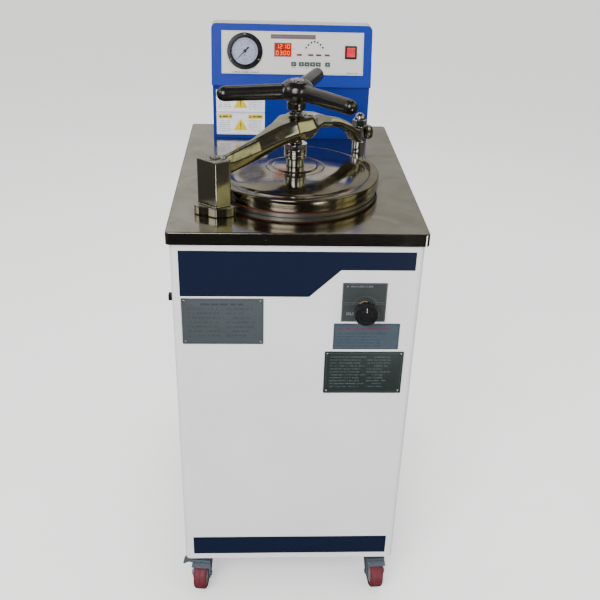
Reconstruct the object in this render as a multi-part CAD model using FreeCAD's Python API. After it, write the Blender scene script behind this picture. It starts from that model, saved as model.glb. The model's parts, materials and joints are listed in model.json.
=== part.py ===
import FreeCAD, Part
import math
import os

# Floor-standing top-loading steam steriliser.  Millimetres, +Z up, front faces -Y.
# Dimensions below are given from the middle of the worktop; each finished solid is then
# moved by ROW_SHIFT so the middle of the overall box stands on the origin.

V = FreeCAD.Vector
UP = V(0, 0, 1)
RIGHT = V(1, 0, 0)
BACK = V(0, 1, 0)

# --- overall -------------------------------------------------------------------------
SHEET = 1.5
WORKTOP_W = 500.0
WORKTOP_D = 690.0
WORKTOP_TOP = 940.0
WORKTOP_LIP = 26.0
WORKTOP_CORNER_R = 8.0
WORKTOP_EDGE_R = 3.0
CABINET_W = 488.0
CABINET_D = 678.0
CABINET_BOTTOM = 98.0
CABINET_CORNER_R = 12.0
CABINET_FRONT = -CABINET_D / 2
CABINET_REAR = CABINET_D / 2
CABINET_SIDE = CABINET_W / 2
SHEET_TOP = WORKTOP_TOP - SHEET
RUNNING = 0.05
SLACK = 0.4

# --- chamber and lid -----------------------------------------------------------------
CHAMBER = V(0, -101, 0)
CHAMBER_R = 150.0
VESSEL_WALL = 3.0
VESSEL_R = CHAMBER_R + VESSEL_WALL
FLANGE_R = 172.0
FLANGE_BOTTOM = 930.0
FLANGE_TOP = 948.0
DISH_RIM = 350.0
DISH_DEPTH = 28.0
GASKET_IN_R = 152.5
GASKET_OUT_R = 170.5
GASKET_BOTTOM = 944.0
GASKET_TOP = 953.0
WORKTOP_HOLE_R = 174.0
LID_R = 176.5
LID_BOTTOM = 953.1
LID_RIM_TOP = 978.0
LID_PLATE_R = 154.0
LID_PLATE_TOP = 984.0
LID_PAD_R = 45.0
LID_PAD_TOP = 988.0
LID_DISH = ((0.0, 968.0), (60.0, 967.0), (110.0, 963.0), (147.0, LID_BOTTOM))
LID_EDGE = 1.5
LID_STEP_RUN = 4.0
LID_GROOVE_DEPTH = 3.5
LID_GROOVE_BOTTOM = 963.0
LID_GROOVE_TOP = 967.0
GUARD_TOP = 402.0
GUARD_T = 2.0
GUARD_R = 146.0
GUARD_HOLE_R = 6.0
GUARD_RINGS = ((32.0, 6), (64.0, 12), (96.0, 18), (126.0, 24))
LUG_COUNT = 3
LUG_FIRST_DEG = 30.0
LUG_R = 5.0
LUG_REACH = 12.0
CLEAR = 1.0
HEATER_RING_R = 100.0
HEATER_TUBE_R = 4.5
HEATER_Z = 374.0
HEATER_GAP_DEG = 24.0
HEATER_LEG_BOTTOM = 296.0
JACKET_IN_R = 156.0
JACKET_GAP = 3.0
JACKET_OUT_R = 188.0
JACKET_BOTTOM = 335.0
JACKET_TOP = 840.0
PROBE_R = 6.0
PROBE_Z = 450.0
PROBE_ANGLES = (150.0, 210.0)
PROBE_IN = 118.0
PROBE_OUT = 205.0
PROBE_HEX_R = 11.0
PROBE_HEX_SPAN = (6.0, 20.0)
PIPE_SEAT = 0.3

# --- swing closure -------------------------------------------------------------------
ARM_DIR = 41.0
HINGE_REACH = 210.0
LATCH_REACH = 193.0
HINGE = CHAMBER - V(math.cos(math.radians(ARM_DIR)), math.sin(math.radians(ARM_DIR)), 0) * HINGE_REACH
LATCH = CHAMBER + V(math.cos(math.radians(ARM_DIR)), math.sin(math.radians(ARM_DIR)), 0) * LATCH_REACH
ARM_BOSS_BOTTOM = 1052.0
ARM_BOSS_R = 41.0
ARM_NECK_R = 22.0
ARM_NECK_TOP = 1097.0
COUNTERBORE_R = 31.0
COUNTERBORE_TOP = 1060.0
KNUCKLE_R = 20.0
KNUCKLE_BOTTOM = 959.2
KNUCKLE_TOP = 1049.5
PIN_R = 9.0
PIN_BOTTOM = 942.2
PIN_TOP = 1051.5
PIN_CHAMFER = 1.5
BRACKET_BASE_T = 18.6
BRACKET_TOP = 1050.0
BRACKET_BASE = (
    (-202.0, -250.0), (-199.5, -257.0), (-192.0, -262.5), (-173.0, -269.5), (-157.5, -278.0),
    (-136.0, -274.5), (-124.5, -268.0), (-118.5, -259.0), (-119.5, -250.0), (-128.5, -242.0),
    (-138.0, -228.0), (-170.0, -217.0), (-192.0, -232.0), (-200.5, -247.0),
)
BRACKET_UPRIGHT = (
    (-194.0, -243.5), (-157.5, -274.0), (-129.5, -256.5), (-128.5, -245.0), (-136.5, -243.0),
    (-192.5, -241.0),
)
# arm sections: distance from hinge axis, underside, waist, top, half-widths low/waist/top
ARM_SECTIONS = (
    (6.0, 1008.0, 1030.0, 1047.0, 8.0, 11.0, 6.0),
    (34.0, 1011.0, 1033.0, 1051.0, 9.0, 13.0, 5.0),
    (100.0, 1027.0, 1047.0, 1067.0, 14.0, 21.0, 7.0),
    (158.0, 1046.0, 1062.0, 1085.0, 22.0, 32.0, 16.0),
    (186.0, 1052.0, 1068.0, 1092.0, 32.0, 41.0, 28.0),
    (234.0, 1052.0, 1069.0, 1094.0, 32.0, 41.0, 28.0),
    (264.0, 1061.0, 1074.0, 1091.0, 20.0, 28.0, 12.0),
    (300.0, 1055.0, 1065.0, 1078.0, 13.0, 19.0, 8.0),
    (335.0, 1046.0, 1056.0, 1068.0, 13.0, 18.0, 8.0),
    (364.0, 1030.0, 1041.0, 1053.0, 15.0, 19.0, 11.0),
    (384.0, 1005.0, 1020.0, 1036.0, 18.0, 21.0, 16.0),
    (431.0, 1005.0, 1020.0, 1036.0, 17.0, 20.0, 15.0),
)
SLOT_HALF = 12.5
SLOT_OVERRUN = 8.0
ARM_BOSS_ROOF = 8.0
POST_R = 15.0
POST_BASE_R = 18.5
POST_BASE_TOP = 946.0
POST_SHOULDER = 1004.6
POST_NECK_R = 11.0
POST_TAIL_R = 8.0
POST_TAIL_BOTTOM = 908.0
POST_HEAD_R = 17.0
POST_HEAD_BOTTOM = 1036.4
POST_BEVEL = 1.5
POST_DOME = ((17.0, 1050.0), (14.5, 1057.0), (9.0, 1063.0), (3.0, 1066.0), (0.0, 1066.0))
SCREW_R = 13.0
SCREW_FLANGE_R = 17.0
SCREW_BOTTOM = 1012.0
SCREW_FLANGE_TOP = 1020.0
SCREW_SHOULDER = 1106.0
SCREW_TOP = 1156.0
SCREW_SPIGOT_R = 10.0
COLLAR_FOOT_R = 19.0
COLLAR_FOOT_TOP = 1004.0
COLLAR_R = 24.0
COLLAR_SHOULDER = 1008.0
COLLAR_TOP = 1036.0
COLLAR_CAVITY_R = 17.5
COLLAR_CAVITY_BOTTOM = 1011.5
COLLAR_CAVITY_TOP = 1020.5
HUB_LOWER_R = 19.5
HUB_BOTTOM = 1106.0
HUB_WAIST = 1124.0
HUB_R = 33.0
HUB_RIM_BOTTOM = 1130.0
HUB_RIM_TOP = 1156.0
HUB_TOP = 1168.0
HUB_CROWN_R = 22.0
SPOKE_Z = 1143.0
SPOKE_R = 15.4
SPOKE_REACH = 147.5
SPOKE_ANGLES = (191.0, 311.0, 71.0)

# --- console -------------------------------------------------------------------------
NECK_HALF_W = 189.0
NECK_FRONT = 230.0
NECK_TOP = 1070.0
HEAD_HALF_W = 191.0
HEAD_FRONT = 222.0
HEAD_TILT = 15.0
HEAD_SLOPE = 142.0
HEAD_CORNER_R = 12.0
CONSOLE_REAR = 343.0
HEAD_TOP = NECK_TOP + HEAD_SLOPE * math.cos(math.radians(HEAD_TILT))
HEAD_TOP_FRONT = HEAD_FRONT + HEAD_SLOPE * math.sin(math.radians(HEAD_TILT))
HEAD_TOP_REAR = 302.0
HEAD_WALL_OVERLAP = 5.0
THROAT_HALF_W = 176.0
THROAT_LEDGE = 15.0
WINDOW_DEPTH = 5.0
BEVEL_BOTTOM = 1154.0
SPLIT_Y = 296.0
CAP_SKIRT = 6.0
CAP_SETBACK = 2.0
JOINT_GAP = 0.1
FACE_PLACE = FreeCAD.Placement(V(0, HEAD_FRONT, NECK_TOP), FreeCAD.Rotation(RIGHT, 90.0 - HEAD_TILT))
PANEL_X = (-166.6, 170.5)
PANEL_Y = (28.4, 126.0)
PANEL_T = 2.0
WINDOW_X = (-156.0, 160.0)
WINDOW_Y = (36.0, 120.0)
GAUGE_X = -111.7
GAUGE_Y = 80.0
GAUGE_FLANGE_R = 42.0
GAUGE_BEZEL_R = 33.4
GAUGE_BORE_R = 31.0
GAUGE_CASE_R = 35.0
GAUGE_CASE_DEPTH = 38.0
GAUGE_FLANGE_TOP = 5.0
GAUGE_BEZEL_TOP = 8.5
DIAL_R = 30.5
NEEDLE_DEG = 225.0
SCREW_CIRCLE_R = 37.9
DISPLAY_X = (-41.5, -2.0)
DISPLAY_Y = (69.6, 99.6)
LAMP_R = 2.1
LAMP_POINTS = (
    (33.8, 90.0), (39.2, 96.6), (45.9, 102.0), (53.5, 104.2), (61.0, 102.4), (67.6, 97.4), (73.0, 91.0),
)
BAR_CENTRES = (17.5, 44.8, 63.8, 84.0)
BAR_Y = 73.5
BAR_W = 12.5
BAR_H = 4.6
LAMP_PROUD = 0.4
DISPLAY_PROUD = 0.8
KEY_CENTRES = (4.5, 22.8, 36.3, 49.8, 63.3, 85.3)
KEY_Y = 52.5
KEY_W = 11.8
KEY_H = 9.4
KEY_GAP = 0.2
KEY_PROUD = 3.6
KEY_CORNER_R = 1.2
KEY_CHAMFER = 0.5
KEY_DEPTH = -3.0
ROCKER_X = 140.4
ROCKER_Y = 80.9
ROCKER_W = 20.0
ROCKER_R = 11.6
ROCKER_TILT = 8.0
ROCKER_AXIS_OUT = 1.5
FRAME_W = 28.0
FRAME_H = 30.0
FRAME_T = 2.2
SWITCH_HALF_W = 12.0
SWITCH_HALF_H = 13.0
SWITCH_DEPTH = -16.0
ROCKER_WING = 1.8
ROCKER_GAPS = (0.3, 0.6)
SWITCH_FLOOR = 4.0
ROCKER_VALLEY = 4.4
BOARD_TOP = -13.0
BOARD_T = 1.6
BOARD_AREA = (-60.0, 38.0, 112.0, 116.0)
# blocks on the board: left, low, right, high edge and height off the board
BOARD_BLOCKS = (
    (60.0, 44.0, 92.0, 60.0, 16.4), (10.0, 44.0, 44.0, 72.0, 20.4), (-50.0, 80.0, -30.0, 100.0, 1.9),
)
CASE_BACK_Z = 2.6
DIAL_T = 0.6
SPINDLE_R = 1.5
SPINDLE_HOLE_R = 1.6
NEEDLE_Z = 4.4
NEEDLE_T = 0.8
NEEDLE_REACH = 25.0
NEEDLE_TAIL = 13.0
NEEDLE_HUB_R = 4.0
NEEDLE_HUB_Z = (4.2, 5.6)
NEEDLE_HALF_WIDTHS = (0.3, 1.3, 2.2)
SPINDLE_DEPTH = 5.0
GLASS_Z = 6.4
GLASS_T = 1.4

# --- front face ----------------------------------------------------------------------
STRIPE_T = 0.3
PLATE_T = 1.0
SCALE_T = 1.2
LABEL_T = 0.4
KNOB_X = 135.4
KNOB_Z = 778.0
KNOB_R = 24.0
KNOB_FLUTES = 12
KNOB_FLUTE_R = 3.4
KNOB_FLUTE_OUT = 1.6
KNOB_EDGE_R = 2.5
KNOB_FRONT = -374.0
KNOB_REAR = -354.0
GLAND_R = 15.0
GLAND_NECK_R = 10.8
GLAND_FRONT = -352.0
VALVE_Y = -312.0
VALVE_R = 16.0
VALVE_BOTTOM = 760.0
VALVE_TOP = 796.0
LOCK_NUT_R = 19.0
LOCK_NUT_T = 5.0
STEM_R = 4.0
STEM_REAR = -322.0
NAMEPLATE = (-226.4, 693.2, -64.7, 797.5)
DATA_PLATE = (60.1, 573.5, 222.8, 675.7)
SCALE_UPPER = (89.2, 789.2, 177.0, 833.2)
SCALE_LOWER = (89.2, 746.5, 177.0, 788.8)
WARNING_LABEL = (75.5, 681.0, 209.2, 742.0)
NOTICE_LOWER = (-181.0, 949.0, -63.7, 1003.0)
NOTICE_UPPER = (-181.0, 1004.5, -63.7, 1058.5)
UPPER_STRIPE = (
    (-227.9, 899.8), (228.3, 899.8), (228.3, 860.6), (84.7, 860.6), (24.1, 801.8), (-227.9, 801.8),
)
LOWER_STRIPE = (-224.4, 113.4, 225.4, 165.3)
RIVET_INSET = 6.0

# --- left side breaker ---------------------------------------------------------------
BREAKER_Y = -288.0
BREAKER_Z = 774.0
BREAKER_FLANGE = 19.0
BREAKER_FLANGE_T = 3.0
BUTTON_SPACE = 6.0
BUTTON_EDGE_R = 1.2
BUTTON_SIZE = 12.6
BUTTON_END = -256.0
BUTTON_INNER = -232.0
BREAKER_DEPTH = 34.0
BREAKER_SKIN = 1.6

# --- pipes and rear ------------------------------------------------------------------
REAR_STUB_END = 362.0
STUB_START = 342.0
EXHAUST_STUB_R = 8.0
DRAIN_STUB_R = 10.5
EXHAUST_Z = 170.0
EXHAUST_PIPE_R = 7.0
EXHAUST_BORE_R = 5.5
DRAIN_Z = 200.0
DRAIN_PIPE_R = 9.0
DRAIN_BORE_R = 7.0
CAPILLARY_R = 3.0
CAPILLARY_BEND = 12.0
CAPILLARY_BORE_R = 1.2
CAPILLARY_Z = 890.0
CAPILLARY_Y = 291.0
CAPILLARY_TURN_Z = 1100.0
SAFETY_ANGLE = 20.0
SAFETY_Z = 880.0
SAFETY_REACH = 200.0
GLAND_X = -180.0
GLAND_Z = 150.0

# --- castors -------------------------------------------------------------------------
CASTOR_X = 206.0
CASTOR_FRONT_Y = -300.0
CASTOR_REAR_Y = 280.0
WHEEL_R = 37.5
WHEEL_W = 32.0
CASTOR_TRAIL = 26.0
FORK_IN = 17.4
FORK_OUT = 21.0
AXLE_R = 6.0
AXLE_BORE_R = 6.05
KINGPIN_R = 6.0
FORK_TOP = 86.0
FORK_CROWN_T = 4.0
# name, place on the floor plan, heading in degrees
CASTORS = (
    ("front_left", V(-CASTOR_X, CASTOR_FRONT_Y, 0), 174.0),
    ("front_right", V(CASTOR_X, CASTOR_FRONT_Y, 0), 184.0),
    ("rear_left", V(-CASTOR_X, CASTOR_REAR_Y, 0), 0.0),
    ("rear_right", V(CASTOR_X, CASTOR_REAR_Y, 0), 0.0),
)
PEDAL_PIVOT_X = 26.0
PEDAL_PIVOT_Z = 74.0
PEDAL_PIVOT_R = 2.0
PEDAL_SLEEVE_R = 4.2
PEDAL_Y = (3.5, 22.5)
EAR_HALF = 5.5
EAR_REACH = 4.0
EAR_T = 3.0
EAR_STARTS = (0.0, 23.0)
PEDAL_OUTLINE = ((0.0, 79.0), (4.0, 79.0), (20.0, 62.0), (19.0, 58.0), (13.0, 61.0), (-1.0, 70.0))
CROWN_R = 25.0
APRON_FRONT = -23.0
APRON_T = 3.5
APRON_DROP = 22.0
APRON_ARCH_R = 16.0
FORK_FOOT = ((-9.0, -9.0), (9.0, -9.0), (10.0, 6.0))
FORK_LEG_FRONT = -23.0
FORK_SHOULDER = ((20.0, -14.0), (14.0, -1.0), (FORK_LEG_FRONT, -1.0), (FORK_LEG_FRONT, -APRON_DROP))
FORK_DECK_REAR = 14.0
AXLE_PROUD = 3.0
APRON_ARCH_SINK = 4.0
PLATE_HALF = 31.0
CASTOR_PLATE_T = 4.0
RACE_R = 23.0
KINGPIN_HEAD_T = 4.5
KINGPIN_HEAD_R = 9.0
HOOD_IN_R = 39.2
HOOD_OUT_R = 41.8
HOOD_LIP_R = 43.6
HOOD_START = 60.0
HOOD_END = 125.0
HOOD_LIP_DEG = 4.0
HOOD_BRIDGE = (10.5, 32.0, 77.2)
WHEEL_EDGE_R = 4.0
WHEEL_HUB_R = 13.0
WHEEL_DISH_R = 26.0
WHEEL_DISH_DEPTH = 4.0

# --- sheet-metal details -------------------------------------------------------------
CHASSIS_HALF_X = 238.0
CHASSIS_HALF_Y = 333.0
CHASSIS_PAN_T = 2.0
ANGLE_W = 30.0
ANGLE_T = 3.0
CHASSIS_TOP_LOW = 924.0
CABLE_OPENING = (-200.0, 130.0, 200.0, 300.0)
WORKTOP_PASSAGE = (-30.0, 275.0, 30.0, 315.0)
LOUVRE_COLUMNS = (-120.0, 120.0)
LOUVRE_ROWS = 10
LOUVRE_FIRST_Z = 640.0
LOUVRE_PITCH = 18.0
LOUVRE_W = 110.0
LOUVRE_H = 5.0
HOOD_OUT = 4.0
HOOD_T = 2.0
RIVET_R = 3.0
RIVET_HEIGHT = 1.6
RIVET_SHANK_R = 1.5
FLANGE_SCREW_ANGLES = (90.0, 210.0, 330.0)
SAFETY_STUB_R = 7.0
SAFETY_PROFILE = ((0, 862), (13, 862), (13, 896), (9, 900), (9, 910), (0, 910))
CABLE_COLLAR_R = 11.5
CABLE_THREAD_LENGTH = 14.0
CABLE_THREAD_R = 8.0
CABLE_DOME_R = 9.5
CABLE_BORE_R = 5.0
CABLE_COLLAR_T = 7.0
CABLE_DOME_T = 12.0

BUTTON_PROUD = -BUTTON_END - WORKTOP_W / 2
ROW_SHIFT = V(BUTTON_PROUD / 2, -(KNOB_FRONT + REAR_STUB_END) / 2, 0)


# --- helpers -------------------------------------------------------------------------
def box(x0, y0, z0, x1, y1, z1):
    """Block between two corners, given in any order."""
    low = V(min(x0, x1), min(y0, y1), min(z0, z1))
    return Part.makeBox(abs(x1 - x0), abs(y1 - y0), abs(z1 - z0), low)


def rod_y(radius, x, z, start, end):
    return rod(radius, V(x, start, z), V(x, end, z))


def rod(radius, start, end):
    axis = end - start
    return Part.makeCylinder(radius, axis.Length, start, axis)


def rod_z(radius, centre, low, high):
    return Part.makeCylinder(radius, high - low, V(centre.x, centre.y, low), UP)


def fuse(shapes):
    whole = shapes[0]
    for shape in shapes[1:]:
        whole = whole.fuse(shape)
    return whole.removeSplitter()


def cut(shape, tools):
    for tool in tools:
        shape = shape.cut(tool)
    return shape


def prism(points, direction):
    closed = list(points) + [points[0]]
    return Part.Face(Part.makePolygon(closed)).extrude(direction)


def polar(centre, radius, degrees, z):
    angle = math.radians(degrees)
    return V(centre.x + radius * math.cos(angle), centre.y + radius * math.sin(angle), z)


def rounded_block(x0, y0, z0, x1, y1, z1, radius):
    block = box(x0, y0, z0, x1, y1, z1)
    edges = [e for e in block.Edges if abs(e.tangentAt(e.FirstParameter).z) > 0.99]
    return block.makeFillet(radius, edges)


def turned(profile, centre):
    """Solid of revolution about a vertical axis from (radius, z) points."""
    points = [V(radius, 0, z) for radius, z in profile]
    face = Part.Face(Part.makePolygon(points + [points[0]]))
    solid = face.revolve(V(0, 0, 0), UP, 360)
    return solid.translated(V(centre.x, centre.y, 0))


def tube_path(points, radius):
    """Round bar along straight runs with ball corners."""
    pieces = [rod(radius, a, b) for a, b in zip(points, points[1:])]
    pieces += [Part.makeSphere(radius, p) for p in points[1:-1]]
    return fuse(pieces)


def pipe(points, radius, bore):
    return tube_path(points, radius).cut(tube_path(points, bore))


def on_face(shape):
    """Move a shape drawn as (across, up the slope, outwards) onto the sloping console face."""
    placed = shape.copy()
    placed.Placement = FACE_PLACE.multiply(placed.Placement)
    return placed


def face_plate(rect, thickness, y_face):
    x0, z0, x1, z1 = rect
    return box(x0, y_face - thickness, z0, x1, y_face, z1)


def save(name, solids):
    shifted = [solid.translated(ROW_SHIFT) for solid in solids]
    shape = shifted[0] if len(shifted) == 1 else Part.makeCompound(shifted)
    if shape.ShapeType == "Compound" and len(shape.Solids) == 1:
        shape = shape.Solids[0]
    shape.exportStep("parts/" + name + ".step")


# --- cabinet -------------------------------------------------------------------------
def cabinet_shell():
    outer = rounded_block(-CABINET_SIDE, CABINET_FRONT, CABINET_BOTTOM, CABINET_SIDE,
                          CABINET_REAR + CABINET_CORNER_R, SHEET_TOP, CABINET_CORNER_R)
    inner = rounded_block(-CABINET_SIDE + SHEET, CABINET_FRONT + SHEET, CABINET_BOTTOM - 1,
                          CABINET_SIDE - SHEET, CABINET_REAR + 2 * CABINET_CORNER_R, SHEET_TOP + 1,
                          CABINET_CORNER_R - SHEET)
    beyond = box(-CABINET_W, CABINET_REAR, 0, CABINET_W, CABINET_REAR + CABINET_D, SHEET_TOP + 1)
    valve_hole = rod_y(GLAND_R + SLACK, KNOB_X, KNOB_Z, CABINET_FRONT - 1, VALVE_Y)
    half = BREAKER_FLANGE / 2 - SHEET
    breaker_hole = box(-CABINET_SIDE - 1, BREAKER_Y - half, BREAKER_Z - half,
                       -CABINET_SIDE + 2 * SHEET, BREAKER_Y + half, BREAKER_Z + half)
    return cut(outer, [inner, beyond, valve_hole, breaker_hole])


def louvres():
    """Low edge of every louvre slot: (left edge x, z)."""
    spots = []
    for column_x in LOUVRE_COLUMNS:
        for row in range(LOUVRE_ROWS):
            spots.append((column_x - LOUVRE_W / 2, LOUVRE_FIRST_Z + row * LOUVRE_PITCH))
    return spots


def louvre_hood(x, z):
    """Pressed lip that leans out and down over its slot."""
    top = z + LOUVRE_H
    points = [V(x, CABINET_REAR, top), V(x, CABINET_REAR, top + HOOD_T),
              V(x, CABINET_REAR + HOOD_OUT, z), V(x, CABINET_REAR + HOOD_OUT - 1, z)]
    return prism(points, V(LOUVRE_W, 0, 0))


def rear_panel():
    half = CABINET_SIDE - SHEET - JOINT_GAP
    plate = box(-half, CABINET_REAR - SHEET, CABINET_BOTTOM, half, CABINET_REAR, SHEET_TOP - JOINT_GAP)
    inside = CABINET_REAR - 2 * SHEET
    outside = CABINET_REAR + SHEET
    tools = [rod_y(EXHAUST_PIPE_R + 1, KNOB_X, EXHAUST_Z, inside, outside),
             rod_y(DRAIN_PIPE_R + 1, 0, DRAIN_Z, inside, outside),
             rod_y(CABLE_THREAD_R + SLACK, GLAND_X, GLAND_Z, inside, outside)]
    for x, z in louvres():
        tools.append(box(x, inside, z, x + LOUVRE_W, outside, z + LOUVRE_H))
    return fuse([cut(plate, tools)] + [louvre_hood(x, z) for x, z in louvres()])


def corner_post(sx, sy):
    """Steel angle in one corner, flanges along the two walls."""
    x = sx * CHASSIS_HALF_X
    y = sy * CHASSIS_HALF_Y
    low = CABINET_BOTTOM + 1
    high = CHASSIS_TOP_LOW + 1
    along_x = box(x, y, low, x - sx * ANGLE_W, y - sy * ANGLE_T, high)
    along_y = box(x, y, low, x - sx * ANGLE_T, y - sy * ANGLE_W, high)
    return [along_x, along_y]


def chassis():
    pan_rear = CABINET_REAR - 2 * SHEET
    pieces = [box(-CHASSIS_HALF_X, -CHASSIS_HALF_Y, CABINET_BOTTOM,
                  CHASSIS_HALF_X, pan_rear, CABINET_BOTTOM + CHASSIS_PAN_T)]
    for sx in (-1, 1):
        for sy in (-1, 1):
            pieces += corner_post(sx, sy)
    low = CHASSIS_TOP_LOW - 1
    high = FLANGE_BOTTOM + 1
    left, front, right, rear = CABLE_OPENING
    top = box(-CHASSIS_HALF_X, -CHASSIS_HALF_Y, CHASSIS_TOP_LOW,
              CHASSIS_HALF_X, CHASSIS_HALF_Y, FLANGE_BOTTOM)
    top = cut(top, [rod_z(VESSEL_R + 2, CHAMBER, low, high),
                    box(left, front, low, right, rear, high),
                    rod_z(POST_TAIL_R + SLACK, LATCH, low, high)])
    return fuse(pieces + [top])


def worktop():
    half_w = WORKTOP_W / 2
    half_d = WORKTOP_D / 2
    low = WORKTOP_TOP - WORKTOP_LIP
    outer = rounded_block(-half_w, -half_d, low, half_w, half_d, WORKTOP_TOP, WORKTOP_CORNER_R)
    top_edges = [e for e in outer.Edges if e.BoundBox.ZMin > WORKTOP_TOP - RUNNING]
    outer = outer.makeFillet(WORKTOP_EDGE_R, top_edges)
    inner = rounded_block(-half_w + SHEET, -half_d + SHEET, low - 1, half_w - SHEET, half_d - SHEET,
                          SHEET_TOP, WORKTOP_CORNER_R - SHEET)
    left, front, right, rear = WORKTOP_PASSAGE
    return cut(outer, [inner, rod_z(WORKTOP_HOLE_R, CHAMBER, low, WORKTOP_TOP + 1),
                       rod_z(POST_TAIL_R + SLACK, LATCH, low, WORKTOP_TOP + 1),
                       box(left, front, low, right, rear, WORKTOP_TOP + 1)])


def vinyl_stripes():
    points = [V(x, CABINET_FRONT - STRIPE_T, z) for x, z in UPPER_STRIPE]
    return [prism(points, V(0, STRIPE_T, 0)), face_plate(LOWER_STRIPE, STRIPE_T, CABINET_FRONT)]


def corner_points(rect):
    x0, z0, x1, z1 = rect
    i = RIVET_INSET
    return [(x0 + i, z0 + i), (x1 - i, z0 + i), (x0 + i, z1 - i), (x1 - i, z1 - i)]


def data_plates():
    plates = []
    for rect in (NAMEPLATE, DATA_PLATE):
        holes = []
        for x, z in corner_points(rect):
            holes.append(rod_y(RIVET_SHANK_R + RUNNING, x, z, CABINET_FRONT - 2 * PLATE_T, CABINET_FRONT))
        plates.append(cut(face_plate(rect, PLATE_T, CABINET_FRONT), holes))
    return plates


def round_head(radius, height, shank_r, shank):
    """Screw standing on the XY plane, head up, shank down."""
    dome_r = (radius * radius + height * height) / (2 * height)
    ball = Part.makeSphere(dome_r, V(0, 0, height - dome_r))
    head = ball.common(Part.makeCylinder(radius, height, V(0, 0, 0), UP))
    return head.fuse(Part.makeCylinder(shank_r, shank + 0.5, V(0, 0, -shank), UP)).removeSplitter()


def round_head_screws():
    solids = []
    turn = FreeCAD.Rotation(RIGHT, 90)
    for rect in (NAMEPLATE, DATA_PLATE):
        for x, z in corner_points(rect):
            screw = round_head(RIVET_R, RIVET_HEIGHT, RIVET_SHANK_R, PLATE_T)
            screw.Placement = FreeCAD.Placement(V(x, CABINET_FRONT - PLATE_T, z), turn)
            solids.append(screw)
    flange_t = GAUGE_FLANGE_TOP - PANEL_T
    for degrees in FLANGE_SCREW_ANGLES:
        spot = polar(V(GAUGE_X, GAUGE_Y, 0), SCREW_CIRCLE_R, degrees, GAUGE_FLANGE_TOP)
        screw = round_head(RIVET_R, RIVET_HEIGHT, RIVET_SHANK_R, flange_t - RUNNING)
        solids.append(on_face(screw.translated(spot)))
    return solids


def valve_scale_plates():
    hole = rod_y(GLAND_R + SLACK, KNOB_X, KNOB_Z, CABINET_FRONT - 2 * SCALE_T, CABINET_FRONT)
    plates = [face_plate(rect, SCALE_T, CABINET_FRONT) for rect in (SCALE_UPPER, SCALE_LOWER)]
    return [plate.cut(hole) for plate in plates]


def notice_labels():
    return [face_plate(WARNING_LABEL, LABEL_T, CABINET_FRONT),
            face_plate(NOTICE_LOWER, LABEL_T, NECK_FRONT),
            face_plate(NOTICE_UPPER, LABEL_T, NECK_FRONT)]


# --- vessel --------------------------------------------------------------------------
def heater_leg_points():
    half = HEATER_GAP_DEG / 2
    return [polar(CHAMBER, HEATER_RING_R, 90 + side * half, 0) for side in (-1, 1)]


def pressure_vessel():
    outer = rod_z(VESSEL_R, CHAMBER, DISH_RIM, FLANGE_TOP)
    flange = rod_z(FLANGE_R, CHAMBER, FLANGE_BOTTOM, FLANGE_TOP)
    dish_outer = dish(VESSEL_R, DISH_RIM, DISH_DEPTH + VESSEL_WALL)
    dish_inner = dish(CHAMBER_R, DISH_RIM, DISH_DEPTH)
    body = fuse([outer, flange, dish_outer])
    tools = [rod_z(CHAMBER_R, CHAMBER, DISH_RIM, FLANGE_TOP + CLEAR), dish_inner]
    groove = rod_z(GASKET_OUT_R, CHAMBER, GASKET_BOTTOM, FLANGE_TOP + CLEAR)
    tools.append(groove.cut(rod_z(GASKET_IN_R, CHAMBER, GASKET_BOTTOM - CLEAR, FLANGE_TOP + 2 * CLEAR)))
    for spot in heater_leg_points():
        tools.append(rod_z(HEATER_TUBE_R + RUNNING, spot, HEATER_LEG_BOTTOM, HEATER_Z))
    for degrees in PROBE_ANGLES:
        tools.append(rod(PROBE_R + RUNNING, polar(CHAMBER, PROBE_IN, degrees, PROBE_Z),
                         polar(CHAMBER, PROBE_OUT, degrees, PROBE_Z)))
    tools.append(rod_z(DRAIN_BORE_R, CHAMBER, DRAIN_Z, DISH_RIM))
    return fuse([cut(body, tools)] + guard_lugs())


def guard_lugs():
    """Three pegs in the chamber wall that carry the perforated guard."""
    z = GUARD_TOP - GUARD_T - LUG_R
    lugs = []
    for index in range(LUG_COUNT):
        degrees = LUG_FIRST_DEG + index * 360.0 / LUG_COUNT
        lugs.append(rod(LUG_R, polar(CHAMBER, CHAMBER_R - LUG_REACH, degrees, z),
                        polar(CHAMBER, CHAMBER_R + CLEAR, degrees, z)))
    return lugs


def dish(radius, rim_z, depth):
    ball_r = (radius * radius + depth * depth) / (2 * depth)
    ball = Part.makeSphere(ball_r, V(CHAMBER.x, CHAMBER.y, rim_z - depth + ball_r))
    return ball.common(rod_z(radius, CHAMBER, rim_z - depth - CLEAR, rim_z))


def vessel_gasket():
    ring = rod_z(GASKET_OUT_R, CHAMBER, GASKET_BOTTOM, GASKET_TOP)
    return ring.cut(rod_z(GASKET_IN_R, CHAMBER, GASKET_BOTTOM - CLEAR, GASKET_TOP + CLEAR))


def insulation_jacket():
    ring = rod_z(JACKET_OUT_R, CHAMBER, JACKET_BOTTOM, JACKET_TOP)
    tools = [rod_z(JACKET_IN_R, CHAMBER, JACKET_BOTTOM - CLEAR, JACKET_TOP + CLEAR)]
    for degrees in PROBE_ANGLES:
        tools.append(rod(PROBE_HEX_R + JACKET_GAP, polar(CHAMBER, CHAMBER_R, degrees, PROBE_Z),
                         polar(CHAMBER, JACKET_OUT_R + JACKET_GAP, degrees, PROBE_Z)))
    tools.append(rod(EXHAUST_PIPE_R + JACKET_GAP,
                     V(CHAMBER.x, CHAMBER.y, KNOB_Z), V(KNOB_X, VALVE_Y, KNOB_Z)))
    return cut(ring, tools)


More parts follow.
